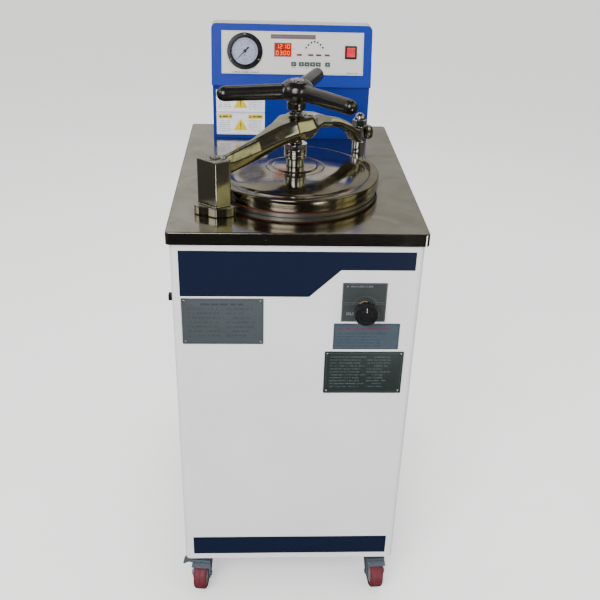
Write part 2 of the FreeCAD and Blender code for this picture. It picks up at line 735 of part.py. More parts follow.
def heater_element():
    spine = Part.makeCircle(HEATER_RING_R, V(CHAMBER.x, CHAMBER.y, HEATER_Z), UP,
                            90 + HEATER_GAP_DEG / 2, 450 - HEATER_GAP_DEG / 2)
    start = spine.valueAt(spine.FirstParameter)
    section = Part.Wire(Part.makeCircle(HEATER_TUBE_R, start, spine.tangentAt(spine.FirstParameter)))
    ring = Part.Wire(spine).makePipeShell([section], True, True)
    pieces = [ring]
    for spot in heater_leg_points():
        pieces.append(Part.makeSphere(HEATER_TUBE_R, V(spot.x, spot.y, HEATER_Z)))
        pieces.append(rod_z(HEATER_TUBE_R, spot, HEATER_LEG_BOTTOM, HEATER_Z))
    return fuse(pieces)


def heater_guard():
    disc = rod_z(GUARD_R, CHAMBER, GUARD_TOP - GUARD_T, GUARD_TOP)
    low = GUARD_TOP - GUARD_T - CLEAR
    high = GUARD_TOP + CLEAR
    tools = [rod_z(GUARD_HOLE_R, CHAMBER, low, high)]
    for radius, count in GUARD_RINGS:
        for index in range(count):
            spot = polar(CHAMBER, radius, index * 360.0 / count, 0)
            tools.append(rod_z(GUARD_HOLE_R, spot, low, high))
    return disc.cut(Part.makeCompound(tools))


def vessel_probes():
    head_in, head_out = PROBE_HEX_SPAN
    solids = []
    for degrees in PROBE_ANGLES:
        stem = rod(PROBE_R, polar(CHAMBER, PROBE_IN, degrees, PROBE_Z),
                   polar(CHAMBER, PROBE_OUT, degrees, PROBE_Z))
        head = rod(PROBE_HEX_R, polar(CHAMBER, VESSEL_R + head_in, degrees, PROBE_Z),
                   polar(CHAMBER, VESSEL_R + head_out, degrees, PROBE_Z))
        solids.append(fuse([stem, head]))
    return solids


# --- pipes and valves ----------------------------------------------------------------
def hose_stub(x, z, radius, bore):
    """Plain end for a hose, standing out of the rear panel."""
    stub = rod_y(radius, x, z, STUB_START, REAR_STUB_END)
    return stub.cut(rod_y(bore, x, z, STUB_START - CLEAR, REAR_STUB_END + CLEAR))


def drain_pipe():
    top = DISH_RIM - DISH_DEPTH - VESSEL_WALL - PIPE_SEAT
    run = pipe([V(0, CHAMBER.y, top), V(0, CHAMBER.y, DRAIN_Z), V(0, REAR_STUB_END, DRAIN_Z)],
               DRAIN_PIPE_R, DRAIN_BORE_R)
    return fuse([run, hose_stub(0, DRAIN_Z, DRAIN_STUB_R, DRAIN_BORE_R)])


def steam_pipes():
    to_valve = V(KNOB_X, VALVE_Y, KNOB_Z) - V(CHAMBER.x, CHAMBER.y, KNOB_Z)
    reach = to_valve.Length
    to_valve.normalize()
    centre = V(CHAMBER.x, CHAMBER.y, KNOB_Z)
    inlet_start = centre + to_valve * (VESSEL_R + PIPE_SEAT)
    inlet_end = centre + to_valve * (reach - VALVE_R - PIPE_SEAT)
    inlet = pipe([inlet_start, inlet_end], EXHAUST_PIPE_R, EXHAUST_BORE_R)
    outlet = pipe([V(KNOB_X, VALVE_Y, VALVE_BOTTOM), V(KNOB_X, VALVE_Y, EXHAUST_Z),
                   V(KNOB_X, REAR_STUB_END, EXHAUST_Z)], EXHAUST_PIPE_R, EXHAUST_BORE_R)
    outlet = fuse([outlet, hose_stub(KNOB_X, EXHAUST_Z, EXHAUST_STUB_R, EXHAUST_BORE_R)])
    gauge_back = FACE_PLACE.multVec(V(GAUGE_X, GAUGE_Y, -GAUGE_CASE_DEPTH))
    approach = FACE_PLACE.multVec(V(GAUGE_X, GAUGE_Y, -GAUGE_CASE_DEPTH - CAPILLARY_BEND))
    capillary = pipe([V(0, CHAMBER.y + VESSEL_R + PIPE_SEAT, CAPILLARY_Z), V(0, CAPILLARY_Y, CAPILLARY_Z),
                      V(0, CAPILLARY_Y, CAPILLARY_TURN_Z), V(GAUGE_X, CAPILLARY_Y, CAPILLARY_TURN_Z),
                      approach, gauge_back], CAPILLARY_R, CAPILLARY_BORE_R)
    return [inlet, outlet, capillary]


def exhaust_valve():
    inside = CABINET_FRONT + SHEET
    body = rod(VALVE_R, V(KNOB_X, VALVE_Y, VALVE_BOTTOM), V(KNOB_X, VALVE_Y, VALVE_TOP))
    neck = rod_y(GLAND_NECK_R, KNOB_X, KNOB_Z, GLAND_FRONT, VALVE_Y)
    gland = rod_y(GLAND_R, KNOB_X, KNOB_Z, GLAND_FRONT + 2, inside + 1)
    lock_nut = rod_y(LOCK_NUT_R, KNOB_X, KNOB_Z, inside, inside + LOCK_NUT_T)
    stem_bore = rod_y(STEM_R + RUNNING, KNOB_X, KNOB_Z, GLAND_FRONT - 1, STEM_REAR + 1)
    return fuse([body, neck, gland, lock_nut]).cut(stem_bore)


def exhaust_knob():
    knob = rod_y(KNOB_R, KNOB_X, KNOB_Z, KNOB_REAR, KNOB_FRONT)
    knob = knob.makeFillet(KNOB_EDGE_R, [e for e in knob.Edges if e.BoundBox.YLength < RUNNING])
    flutes = []
    for index in range(KNOB_FLUTES):
        angle = 2 * math.pi * index / KNOB_FLUTES
        x = KNOB_X + (KNOB_R + KNOB_FLUTE_OUT) * math.cos(angle)
        z = KNOB_Z + (KNOB_R + KNOB_FLUTE_OUT) * math.sin(angle)
        flutes.append(rod_y(KNOB_FLUTE_R, x, z, KNOB_REAR + 1, KNOB_FRONT - 1))
    stem = rod_y(STEM_R, KNOB_X, KNOB_Z, KNOB_REAR - 5, STEM_REAR)
    return fuse([cut(knob, flutes), stem])


def safety_valve():
    start = polar(CHAMBER, VESSEL_R + PIPE_SEAT, SAFETY_ANGLE, SAFETY_Z)
    end = polar(CHAMBER, SAFETY_REACH, SAFETY_ANGLE, SAFETY_Z)
    return fuse([rod(SAFETY_STUB_R, start, end), turned(SAFETY_PROFILE, end)])


def cable_gland():
    thread_end = CABINET_REAR - CABLE_THREAD_LENGTH
    collar_end = CABINET_REAR + CABLE_COLLAR_T
    inner_face = CABINET_REAR - SHEET
    inner = rod_y(CABLE_THREAD_R, GLAND_X, GLAND_Z, thread_end, CABINET_REAR)
    collar = rod_y(CABLE_COLLAR_R, GLAND_X, GLAND_Z, CABINET_REAR, collar_end)
    dome = rod_y(CABLE_DOME_R, GLAND_X, GLAND_Z, collar_end, collar_end + CABLE_DOME_T)
    lock = rod_y(CABLE_COLLAR_R, GLAND_X, GLAND_Z, inner_face - LOCK_NUT_T, inner_face)
    bore = rod_y(CABLE_BORE_R, GLAND_X, GLAND_Z, thread_end - CLEAR, collar_end + CABLE_DOME_T + CLEAR)
    return fuse([inner, collar, dome, lock]).cut(bore)


# --- console -------------------------------------------------------------------------
def side_prism(points, half_w):
    return prism([V(-half_w, y, z) for y, z in points], V(2 * half_w, 0, 0))


def corner_mask(inset):
    """Front-view outline of the head with its two rounded top corners."""
    radius = HEAD_CORNER_R - inset
    block = box(-HEAD_HALF_W + inset, 0, 0, HEAD_HALF_W - inset, 2 * CONSOLE_REAR, HEAD_TOP - inset)
    high = HEAD_TOP - inset - CLEAR
    edges = [e for e in block.Edges if e.BoundBox.ZMin > high and e.BoundBox.YLength > CLEAR]
    return block.makeFillet(radius, edges)


def console_neck():
    outer = box(-NECK_HALF_W, NECK_FRONT, WORKTOP_TOP, NECK_HALF_W, SPLIT_Y - JOINT_GAP, NECK_TOP)
    inner = box(-NECK_HALF_W + SHEET, NECK_FRONT + SHEET, WORKTOP_TOP - 1, NECK_HALF_W - SHEET,
                SPLIT_Y + 1, NECK_TOP + 1)
    return outer.cut(inner)


def shell_outline(gap):
    """Side profile of the rear shell; gap widens it for the joint with the head."""
    return [(HEAD_TOP_FRONT + CAP_SETBACK - gap, HEAD_TOP + gap), (HEAD_TOP_REAR, HEAD_TOP + gap),
            (CONSOLE_REAR + gap, BEVEL_BOTTOM), (CONSOLE_REAR + gap, WORKTOP_TOP),
            (SPLIT_Y - gap, WORKTOP_TOP), (SPLIT_Y - gap, HEAD_TOP - CAP_SKIRT - gap),
            (HEAD_TOP_FRONT + CAP_SETBACK - gap, HEAD_TOP - CAP_SKIRT - gap)]


def console_head():
    slope = math.tan(math.radians(HEAD_TILT))
    wall = SHEET / math.cos(math.radians(HEAD_TILT))
    floor = NECK_TOP + SHEET
    beyond = CONSOLE_REAR + HEAD_WALL_OVERLAP
    above = HEAD_TOP + HEAD_WALL_OVERLAP
    side = HEAD_HALF_W + 1
    outer = side_prism([(HEAD_FRONT, NECK_TOP), (HEAD_TOP_FRONT, HEAD_TOP),
                        (CONSOLE_REAR, HEAD_TOP), (CONSOLE_REAR, NECK_TOP)], HEAD_HALF_W)
    outer = outer.common(corner_mask(0))
    inner = side_prism([(HEAD_FRONT + wall + SHEET * slope, floor),
                        (HEAD_TOP_FRONT + wall + HEAD_WALL_OVERLAP * slope, above),
                        (beyond, above), (beyond, floor)], HEAD_HALF_W - SHEET)
    open_top = box(-THROAT_HALF_W, 0, HEAD_TOP - HEAD_CORNER_R, THROAT_HALF_W, beyond, above)
    inner = inner.common(corner_mask(SHEET).fuse(open_top))
    behind = side_prism([(SPLIT_Y - JOINT_GAP, 0), (SPLIT_Y - JOINT_GAP, above),
                         (beyond, above), (beyond, 0)], side)
    throat = box(-THROAT_HALF_W, NECK_FRONT + THROAT_LEDGE, NECK_TOP - CLEAR,
                 THROAT_HALF_W, CONSOLE_REAR, floor + CLEAR)
    window = on_face(box(WINDOW_X[0], WINDOW_Y[0], -WINDOW_DEPTH, WINDOW_X[1], WINDOW_Y[1], WINDOW_DEPTH))
    return cut(outer, [inner, behind, side_prism(shell_outline(JOINT_GAP), side), throat, window])


def console_shell():
    outer = side_prism(shell_outline(0), HEAD_HALF_W).common(corner_mask(0))
    deep = CONSOLE_REAR + HEAD_WALL_OVERLAP
    wide_side = HEAD_HALF_W + HEAD_WALL_OVERLAP
    low_sides = [box(side * NECK_HALF_W, 0, 0, side * wide_side, deep, NECK_TOP) for side in (-1, 1)]
    inner_points = [(HEAD_TOP_FRONT, HEAD_TOP - SHEET), (HEAD_TOP_REAR - SHEET / 2, HEAD_TOP - SHEET),
                    (CONSOLE_REAR - SHEET, BEVEL_BOTTOM - SHEET / 2),
                    (CONSOLE_REAR - SHEET, WORKTOP_TOP - CLEAR), (SPLIT_Y - CLEAR, WORKTOP_TOP - CLEAR),
                    (SPLIT_Y - CLEAR, HEAD_TOP - CAP_SKIRT - CLEAR),
                    (HEAD_TOP_FRONT, HEAD_TOP - CAP_SKIRT - CLEAR)]
    under_head = box(-HEAD_HALF_W, 0, 0, HEAD_HALF_W, deep, NECK_TOP + SHEET)
    beside_neck = box(-HEAD_HALF_W, 0, 0, HEAD_HALF_W, deep, NECK_TOP + SHEET + CLEAR)
    wide = side_prism(inner_points, HEAD_HALF_W - SHEET).common(corner_mask(SHEET)).cut(under_head)
    narrow = side_prism(inner_points, NECK_HALF_W - SHEET).common(beside_neck)
    return cut(outer, low_sides + [wide, narrow])


def panel_hole(x, y, half_w, half_h, room):
    return box(x - half_w - room, y - half_h - room, -CLEAR,
               x + half_w + room, y + half_h + room, PANEL_T + CLEAR)


def control_panel():
    plate = box(PANEL_X[0], PANEL_Y[0], 0, PANEL_X[1], PANEL_Y[1], PANEL_T)
    tools = [rod_z(GAUGE_CASE_R + SLACK, V(GAUGE_X, GAUGE_Y, 0), -1, PANEL_T + 1),
             box(DISPLAY_X[0] - JOINT_GAP, DISPLAY_Y[0] - JOINT_GAP, -1, DISPLAY_X[1] + JOINT_GAP,
                 DISPLAY_Y[1] + JOINT_GAP, PANEL_T + 1)]
    for x, y in LAMP_POINTS:
        tools.append(rod_z(LAMP_R + RUNNING, V(x, y, 0), -1, PANEL_T + 1))
    for x in BAR_CENTRES:
        tools.append(panel_hole(x, BAR_Y, BAR_W / 2, BAR_H / 2, RUNNING))
    for x in KEY_CENTRES:
        tools.append(panel_hole(x, KEY_Y, KEY_W / 2, KEY_H / 2, KEY_GAP))
    tools.append(panel_hole(ROCKER_X, ROCKER_Y, SWITCH_HALF_W, SWITCH_HALF_H, KEY_GAP))
    return on_face(cut(plate, tools))


def control_board():
    left, low, right, high = BOARD_AREA
    pieces = [box(left, low, BOARD_TOP - BOARD_T, right, high, BOARD_TOP)]
    for x0, y0, x1, y1, height in BOARD_BLOCKS:
        pieces.append(box(x0, y0, BOARD_TOP - BOARD_T - height, x1, y1, BOARD_TOP - 1))
    return on_face(fuse(pieces))


def gauge_case():
    centre = V(GAUGE_X, GAUGE_Y, 0)
    rear = rod_z(GAUGE_CASE_R, centre, -GAUGE_CASE_DEPTH, PANEL_T)
    flange = rod_z(GAUGE_FLANGE_R, centre, PANEL_T, GAUGE_FLANGE_TOP)
    bezel = rod_z(GAUGE_BEZEL_R, centre, PANEL_T, GAUGE_BEZEL_TOP)
    tools = [rod_z(GAUGE_BORE_R + JOINT_GAP, centre, CASE_BACK_Z, GAUGE_BEZEL_TOP + 1),
             rod_z(SPINDLE_HOLE_R, centre, -SPINDLE_DEPTH - CLEAR, CASE_BACK_Z + CLEAR)]
    for degrees in FLANGE_SCREW_ANGLES:
        spot = polar(centre, SCREW_CIRCLE_R, degrees, 0)
        tools.append(rod_z(RIVET_SHANK_R + RUNNING, spot, PANEL_T, GAUGE_FLANGE_TOP + 1))
    return on_face(cut(fuse([rear, flange, bezel]), tools))


def gauge_dial():
    centre = V(GAUGE_X, GAUGE_Y, 0)
    disc = rod_z(DIAL_R, centre, CASE_BACK_Z, CASE_BACK_Z + DIAL_T)
    return on_face(disc.cut(rod_z(SPINDLE_HOLE_R + JOINT_GAP, centre, CASE_BACK_Z - 1, CASE_BACK_Z + 2)))


def gauge_needle():
    middle = V(0, 0, 0)
    hub_low, hub_high = NEEDLE_HUB_Z
    hub = rod_z(NEEDLE_HUB_R, middle, hub_low, hub_high)
    spindle = rod_z(SPINDLE_R, middle, -SPINDLE_DEPTH, NEEDLE_Z)
    tip, root, tail = NEEDLE_HALF_WIDTHS
    pointer_points = [V(0, -root, NEEDLE_Z), V(NEEDLE_REACH, -tip, NEEDLE_Z),
                      V(NEEDLE_REACH, tip, NEEDLE_Z), V(0, root, NEEDLE_Z)]
    tail_points = [V(0, -root, NEEDLE_Z), V(0, root, NEEDLE_Z),
                   V(-NEEDLE_TAIL, tail, NEEDLE_Z), V(-NEEDLE_TAIL, -tail, NEEDLE_Z)]
    thick = V(0, 0, NEEDLE_T)
    needle = fuse([hub, spindle, prism(pointer_points, thick), prism(tail_points, thick)])
    needle.rotate(middle, UP, NEEDLE_DEG)
    return on_face(needle.translated(V(GAUGE_X, GAUGE_Y, 0)))


def gauge_glass():
    return on_face(rod_z(GAUGE_BORE_R, V(GAUGE_X, GAUGE_Y, 0), GLASS_Z, GLASS_Z + GLASS_T))


def display_window():
    return on_face(box(DISPLAY_X[0], DISPLAY_Y[0], KEY_DEPTH,
                       DISPLAY_X[1], DISPLAY_Y[1], PANEL_T + DISPLAY_PROUD))


def status_lights():
    solids = []
    crown = PANEL_T + LAMP_PROUD
    for x, y in LAMP_POINTS:
        lamp = fuse([rod_z(LAMP_R, V(x, y, 0), KEY_DEPTH, crown), Part.makeSphere(LAMP_R, V(x, y, crown))])
        solids.append(on_face(lamp))
    for x in BAR_CENTRES:
        bar = box(x - BAR_W / 2, BAR_Y - BAR_H / 2, KEY_DEPTH,
                  x + BAR_W / 2, BAR_Y + BAR_H / 2, PANEL_T + LAMP_PROUD)
        solids.append(on_face(bar))
    return solids


def key_cap(x):
    cap = rounded_block(x - KEY_W / 2, KEY_Y - KEY_H / 2, KEY_DEPTH, x + KEY_W / 2, KEY_Y + KEY_H / 2,
                        KEY_PROUD, KEY_CORNER_R)
    top = [e for e in cap.Edges if e.BoundBox.ZMin > KEY_PROUD - RUNNING]
    return on_face(cap.makeChamfer(KEY_CHAMFER, top))


def rocker_frame():
    rim = box(ROCKER_X - FRAME_W / 2, ROCKER_Y - FRAME_H / 2, PANEL_T,
              ROCKER_X + FRAME_W / 2, ROCKER_Y + FRAME_H / 2, PANEL_T + FRAME_T)
    body = box(ROCKER_X - SWITCH_HALF_W, ROCKER_Y - SWITCH_HALF_H, SWITCH_DEPTH,
               ROCKER_X + SWITCH_HALF_W, ROCKER_Y + SWITCH_HALF_H, PANEL_T + FRAME_T / 2)
    half_w = ROCKER_W / 2 + ROCKER_GAPS[0]
    half_h = ROCKER_R + ROCKER_GAPS[1]
    cavity = box(ROCKER_X - half_w, ROCKER_Y - half_h, SWITCH_DEPTH + SWITCH_FLOOR,
                 ROCKER_X + half_w, ROCKER_Y + half_h, PANEL_T + FRAME_T + CLEAR)
    return on_face(fuse([rim, body]).cut(cavity))


def power_rocker():
    half = ROCKER_W / 2
    barrel = rod(ROCKER_R, V(-half, 0, 0), V(half, 0, 0))
    crest = ROCKER_VALLEY + ROCKER_WING
    outline = [V(-half, -ROCKER_R, -ROCKER_R), V(-half, ROCKER_R, -ROCKER_R), V(-half, ROCKER_R, crest),
               V(-half, 0, ROCKER_VALLEY), V(-half, -ROCKER_R, crest)]
    rocker = barrel.common(prism(outline, V(ROCKER_W, 0, 0)))
    rocker.rotate(V(0, 0, 0), RIGHT, ROCKER_TILT)
    return on_face(rocker.translated(V(ROCKER_X, ROCKER_Y, ROCKER_AXIS_OUT)))


# --- swing closure -------------------------------------------------------------------
def hinge_bracket():
    step = WORKTOP_TOP + BRACKET_BASE_T
    base = prism([V(x, y, WORKTOP_TOP) for x, y in BRACKET_BASE], UP * BRACKET_BASE_T)
    upright = prism([V(x, y, step - CLEAR) for x, y in BRACKET_UPRIGHT], UP * (BRACKET_TOP - step + CLEAR))
    knuckle_room = rod_z(KNUCKLE_R + CLEAR, HINGE, step, BRACKET_TOP + CLEAR)
    pin_hole = rod_z(PIN_R + RUNNING, HINGE, PIN_BOTTOM - PIPE_SEAT, BRACKET_TOP)
    return cut(fuse([base, upright]), [knuckle_room, pin_hole])


def hinge_pin():
    return turned([(0, PIN_BOTTOM), (PIN_R, PIN_BOTTOM), (PIN_R, PIN_TOP - PIN_CHAMFER),
                   (PIN_R - PIN_CHAMFER, PIN_TOP), (0, PIN_TOP)], HINGE)


def arm_section(station):
    s, low, waist, top, half_low, half_waist, half_top = station
    right = [V(s, half_low, low), V(s, half_waist, waist), V(s, half_top, top)]
    left = [V(s, -half_top, top), V(s, -half_waist, waist), V(s, -half_low, low)]
    return Part.makePolygon(right + left + right[:1])


def swing_arm():
    beam = Part.makeLoft([arm_section(station) for station in ARM_SECTIONS], True, True)
    beam.rotate(V(0, 0, 0), UP, ARM_DIR)
    beam.translate(HINGE)
    knuckle = rod_z(KNUCKLE_R, HINGE, KNUCKLE_BOTTOM, KNUCKLE_TOP)
    boss = rod_z(ARM_BOSS_R, CHAMBER, ARM_BOSS_BOTTOM, COUNTERBORE_TOP + ARM_BOSS_ROOF)
    neck = rod_z(ARM_NECK_R, CHAMBER, COUNTERBORE_TOP, ARM_NECK_TOP)
    body = fuse([beam, knuckle, boss, neck])
    slot_bottom = POST_SHOULDER - SLOT_OVERRUN
    slot_top = POST_HEAD_BOTTOM + SLOT_OVERRUN
    slot = box(-SLOT_HALF, -3 * POST_HEAD_R, slot_bottom, SLOT_HALF, 0, slot_top)
    slot.rotate(V(0, 0, 0), UP, ARM_DIR)
    slot.translate(LATCH)
    tools = [rod_z(PIN_R + RUNNING, HINGE, KNUCKLE_BOTTOM - CLEAR, KNUCKLE_TOP + CLEAR),
             rod_z(COUNTERBORE_R, CHAMBER, ARM_BOSS_BOTTOM - SLOT_OVERRUN, COUNTERBORE_TOP),
             rod_z(SCREW_R + RUNNING, CHAMBER, COUNTERBORE_TOP - CLEAR, ARM_NECK_TOP + CLEAR),
             slot, rod_z(SLOT_HALF, LATCH, slot_bottom, slot_top)]
    return cut(body, tools)


def latch_post():
    shaft = [(0, POST_TAIL_BOTTOM), (POST_TAIL_R, POST_TAIL_BOTTOM), (POST_TAIL_R, WORKTOP_TOP),
             (POST_BASE_R, WORKTOP_TOP), (POST_BASE_R, POST_BASE_TOP - POST_BEVEL),
             (POST_BASE_R - POST_BEVEL, POST_BASE_TOP), (POST_R, POST_BASE_TOP),
             (POST_R, POST_SHOULDER - POST_BEVEL), (POST_R - POST_BEVEL, POST_SHOULDER),
             (POST_NECK_R, POST_SHOULDER)]
    head = [(POST_NECK_R, POST_HEAD_BOTTOM), (POST_HEAD_R, POST_HEAD_BOTTOM)] + list(POST_DOME)
    return turned(shaft + head, LATCH)


def lid():
    groove_r = LID_R - LID_GROOVE_DEPTH
    underside = list(LID_DISH) + [(LID_R - LID_EDGE, LID_BOTTOM), (LID_R, LID_BOTTOM + LID_EDGE)]
    rim = [(LID_R, LID_GROOVE_BOTTOM), (groove_r, LID_GROOVE_BOTTOM), (groove_r, LID_GROOVE_TOP),
           (LID_R, LID_GROOVE_TOP), (LID_R, LID_RIM_TOP - LID_EDGE), (LID_R - LID_EDGE, LID_RIM_TOP)]
    top = [(LID_PLATE_R, LID_RIM_TOP), (LID_PLATE_R - LID_STEP_RUN, LID_PLATE_TOP),
           (LID_PAD_R + LID_STEP_RUN, LID_PLATE_TOP), (LID_PAD_R, LID_PAD_TOP), (0, LID_PAD_TOP)]
    return turned(underside + rim + top, CHAMBER)


def thrust_collar():
    bore = SCREW_R + SLACK
    profile = [(0, LID_PAD_TOP), (COLLAR_FOOT_R, LID_PAD_TOP), (COLLAR_FOOT_R, COLLAR_FOOT_TOP),
               (COLLAR_R, COLLAR_SHOULDER), (COLLAR_R, COLLAR_TOP - POST_BEVEL),
               (COLLAR_R - POST_BEVEL, COLLAR_TOP),
               (bore, COLLAR_TOP), (bore, COLLAR_CAVITY_TOP), (COLLAR_CAVITY_R, COLLAR_CAVITY_TOP),
               (COLLAR_CAVITY_R, COLLAR_CAVITY_BOTTOM), (0, COLLAR_CAVITY_BOTTOM)]
    return turned(profile, CHAMBER)


def clamp_screw():
    profile = [(0, SCREW_BOTTOM), (SCREW_FLANGE_R, SCREW_BOTTOM), (SCREW_FLANGE_R, SCREW_FLANGE_TOP),
               (SCREW_R, SCREW_FLANGE_TOP), (SCREW_R, SCREW_SHOULDER), (SCREW_SPIGOT_R, SCREW_SHOULDER),
               (SCREW_SPIGOT_R, SCREW_TOP), (0, SCREW_TOP)]
    return turned(profile, CHAMBER)


def handwheel():
    hub = turned([(0, HUB_BOTTOM), (HUB_LOWER_R, HUB_BOTTOM), (HUB_LOWER_R, HUB_WAIST),
                  (HUB_R, HUB_RIM_BOTTOM), (HUB_R, HUB_RIM_TOP), (HUB_CROWN_R, HUB_TOP), (0, HUB_TOP)], CHAMBER)
    pieces = [hub]
    for degrees in SPOKE_ANGLES:
        tip = polar(CHAMBER, SPOKE_REACH, degrees, SPOKE_Z)
        pieces.append(rod(SPOKE_R, V(CHAMBER.x, CHAMBER.y, SPOKE_Z), tip))
        pieces.append(Part.makeSphere(SPOKE_R, tip))
    bore = rod_z(SCREW_SPIGOT_R, CHAMBER, HUB_BOTTOM - CLEAR, SCREW_TOP)
    return fuse(pieces).cut(bore)


# --- breaker -------------------------------------------------------------------------
def breaker_block(x0, x1, half):
    """Square block on the breaker's own centre line."""
    return box(x0, BREAKER_Y - half, BREAKER_Z - half, x1, BREAKER_Y + half, BREAKER_Z + half)


def breaker_body():
    wall = -CABINET_SIDE
    half = BREAKER_FLANGE / 2
    flange = breaker_block(wall - BREAKER_FLANGE_T, wall, half)
    body = breaker_block(wall - CLEAR, wall + BREAKER_DEPTH, half - BREAKER_SKIN)
    cavity = breaker_block(wall - BREAKER_FLANGE_T - CLEAR, BUTTON_INNER + BUTTON_SPACE,
                           BUTTON_SIZE / 2 + KEY_GAP)
    return fuse([flange, body]).cut(cavity)


def reset_button():
    button = breaker_block(BUTTON_END, BUTTON_INNER, BUTTON_SIZE / 2)
    edges = [e for e in button.Edges if e.BoundBox.XMax < BUTTON_END + RUNNING]
    return button.makeFillet(BUTTON_EDGE_R, edges)


# --- castors -------------------------------------------------------------------------
def castor_plates():
    solids = []
    under_crown = FORK_TOP - FORK_CROWN_T
    plate_low = CABINET_BOTTOM - CASTOR_PLATE_T
    for _, spot, _ in CASTORS:
        plate = box(spot.x - PLATE_HALF, spot.y - PLATE_HALF, plate_low,
                    spot.x + PLATE_HALF, spot.y + PLATE_HALF, CABINET_BOTTOM)
        race = rod_z(RACE_R, spot, FORK_TOP + PIPE_SEAT, plate_low + CLEAR)
        pin = rod_z(KINGPIN_R, spot, under_crown - KINGPIN_HEAD_T, FORK_TOP + CLEAR)
        head = rod_z(KINGPIN_HEAD_R, spot, under_crown - KINGPIN_HEAD_T, under_crown - PIPE_SEAT)
        solids.append(fuse([plate, race, pin, head]))
    return solids


def fork_leg(x0):
    """Side plate of the fork, from the crown back and down to the axle, starting at x0."""
    foot = [(CASTOR_TRAIL + y, WHEEL_R + z) for y, z in FORK_FOOT]
    shoulder = [(y, FORK_TOP + z) for y, z in FORK_SHOULDER]
    return prism([V(x0, y, z) for y, z in foot + shoulder], V(FORK_OUT - FORK_IN, 0, 0))


def hood_sector(inner, outer, start, end):
    """Arched plate over the wheel between two angles, measured from the trailing side upwards."""
    reach = 3 * outer
    wedge = [V(-FORK_OUT, CASTOR_TRAIL, WHEEL_R)]
    for degrees in (start, (start + end) / 2, end):
        angle = math.radians(degrees)
        wedge.append(wedge[0] + V(0, reach * math.cos(angle), reach * math.sin(angle)))
    left = V(-FORK_OUT, CASTOR_TRAIL, WHEEL_R)
    right = V(FORK_OUT, CASTOR_TRAIL, WHEEL_R)
    ring = rod(outer, left, right).cut(rod(inner, left, right))
    return ring.common(prism(wedge, RIGHT * (2 * FORK_OUT)))


def castor_fork():
    """Pressed-steel fork about its own swivel axis, wheel trailing towards +Y, with its axle."""
    middle = V(0, 0, 0)
    crown = rod_z(CROWN_R, middle, FORK_TOP - FORK_CROWN_T, FORK_TOP)
    deck = box(-FORK_OUT, 0, FORK_TOP - FORK_CROWN_T, FORK_OUT, FORK_DECK_REAR, FORK_TOP)
    apron_low = FORK_TOP - APRON_DROP
    apron = box(-FORK_OUT, APRON_FRONT, apron_low, FORK_OUT, APRON_FRONT + APRON_T, FORK_TOP - CLEAR)
    arch_z = apron_low - APRON_ARCH_SINK
    apron = apron.cut(rod_y(APRON_ARCH_R, 0, arch_z, APRON_FRONT - CLEAR, APRON_FRONT + APRON_T + CLEAR))
    legs = [fork_leg(-FORK_OUT), fork_leg(FORK_IN)]
    axle_end = RIGHT * (FORK_OUT + AXLE_PROUD)
    hub_centre = V(0, CASTOR_TRAIL, WHEEL_R)
    axle = rod(AXLE_R, hub_centre - axle_end, hub_centre + axle_end)
    bridge_front, bridge_rear, bridge_low = HOOD_BRIDGE
    hood = [hood_sector(HOOD_IN_R, HOOD_OUT_R, HOOD_START, HOOD_END),
            hood_sector(HOOD_IN_R, HOOD_LIP_R, HOOD_START, HOOD_START + HOOD_LIP_DEG),
            box(-FORK_OUT, bridge_front, bridge_low, FORK_OUT, bridge_rear, FORK_TOP - FORK_CROWN_T + CLEAR)]
    fork = fuse([crown, deck, apron] + legs + hood + [axle])
    return fork.cut(rod_z(KINGPIN_R + RUNNING, middle, FORK_TOP - 2 * FORK_CROWN_T, FORK_TOP + CLEAR))


def braked_fork():
    """The same fork with two ears for the brake lever beside one leg."""
    ears = []
    low = PEDAL_PIVOT_Z - EAR_HALF
    high = PEDAL_PIVOT_Z + EAR_HALF
    for y in EAR_STARTS:
        ears.append(box(FORK_OUT - CLEAR, y, low, PEDAL_PIVOT_X + EAR_REACH, y + EAR_T, high))
    pivot = rod_y(PEDAL_PIVOT_R, PEDAL_PIVOT_X, PEDAL_PIVOT_Z, EAR_STARTS[0], EAR_STARTS[1] + EAR_T)
    return fuse([castor_fork()] + ears + [pivot])


def brake_pedal():
    """Bent lever on a fore-and-aft pivot beside one leg; its foot pad points outwards."""
    y0, y1 = PEDAL_Y
    lever = prism([V(PEDAL_PIVOT_X + x, y0, z) for x, z in PEDAL_OUTLINE], BACK * (y1 - y0))
    sleeve = rod_y(PEDAL_SLEEVE_R, PEDAL_PIVOT_X, PEDAL_PIVOT_Z, y0, y1)
    bore = rod_y(PEDAL_PIVOT_R + RUNNING, PEDAL_PIVOT_X, PEDAL_PIVOT_Z, y0 - CLEAR, y1 + CLEAR)
    return fuse([lever, sleeve]).cut(bore)


def castor_wheel():
    half = WHEEL_W / 2
    middle = V(0, CASTOR_TRAIL, WHEEL_R)
    tread_end = RIGHT * (half - CLEAR)
    tread = rod(WHEEL_R, middle - tread_end, middle + tread_end)
    tread = tread.makeFillet(WHEEL_EDGE_R, [e for e in tread.Edges if e.BoundBox.XLength < RUNNING])
    hub = rod(WHEEL_HUB_R, middle - RIGHT * half, middle + RIGHT * half)
    tools = [rod(AXLE_BORE_R, middle - RIGHT * WHEEL_W, middle + RIGHT * WHEEL_W)]
    for side in (-1, 1):
        inner_face = middle + RIGHT * side * (half - WHEEL_DISH_DEPTH)
        outer_face = middle + RIGHT * side * (half + CLEAR)
        dished = rod(WHEEL_DISH_R, inner_face, outer_face)
        tools.append(dished.cut(rod(WHEEL_HUB_R, inner_face, outer_face)))
    return cut(fuse([tread, hub]), tools)


def at_castor(shape, spot, heading):
    placed = shape.copy()
    placed.rotate(V(0, 0, 0), UP, heading)
    placed.translate(spot)
    return placed


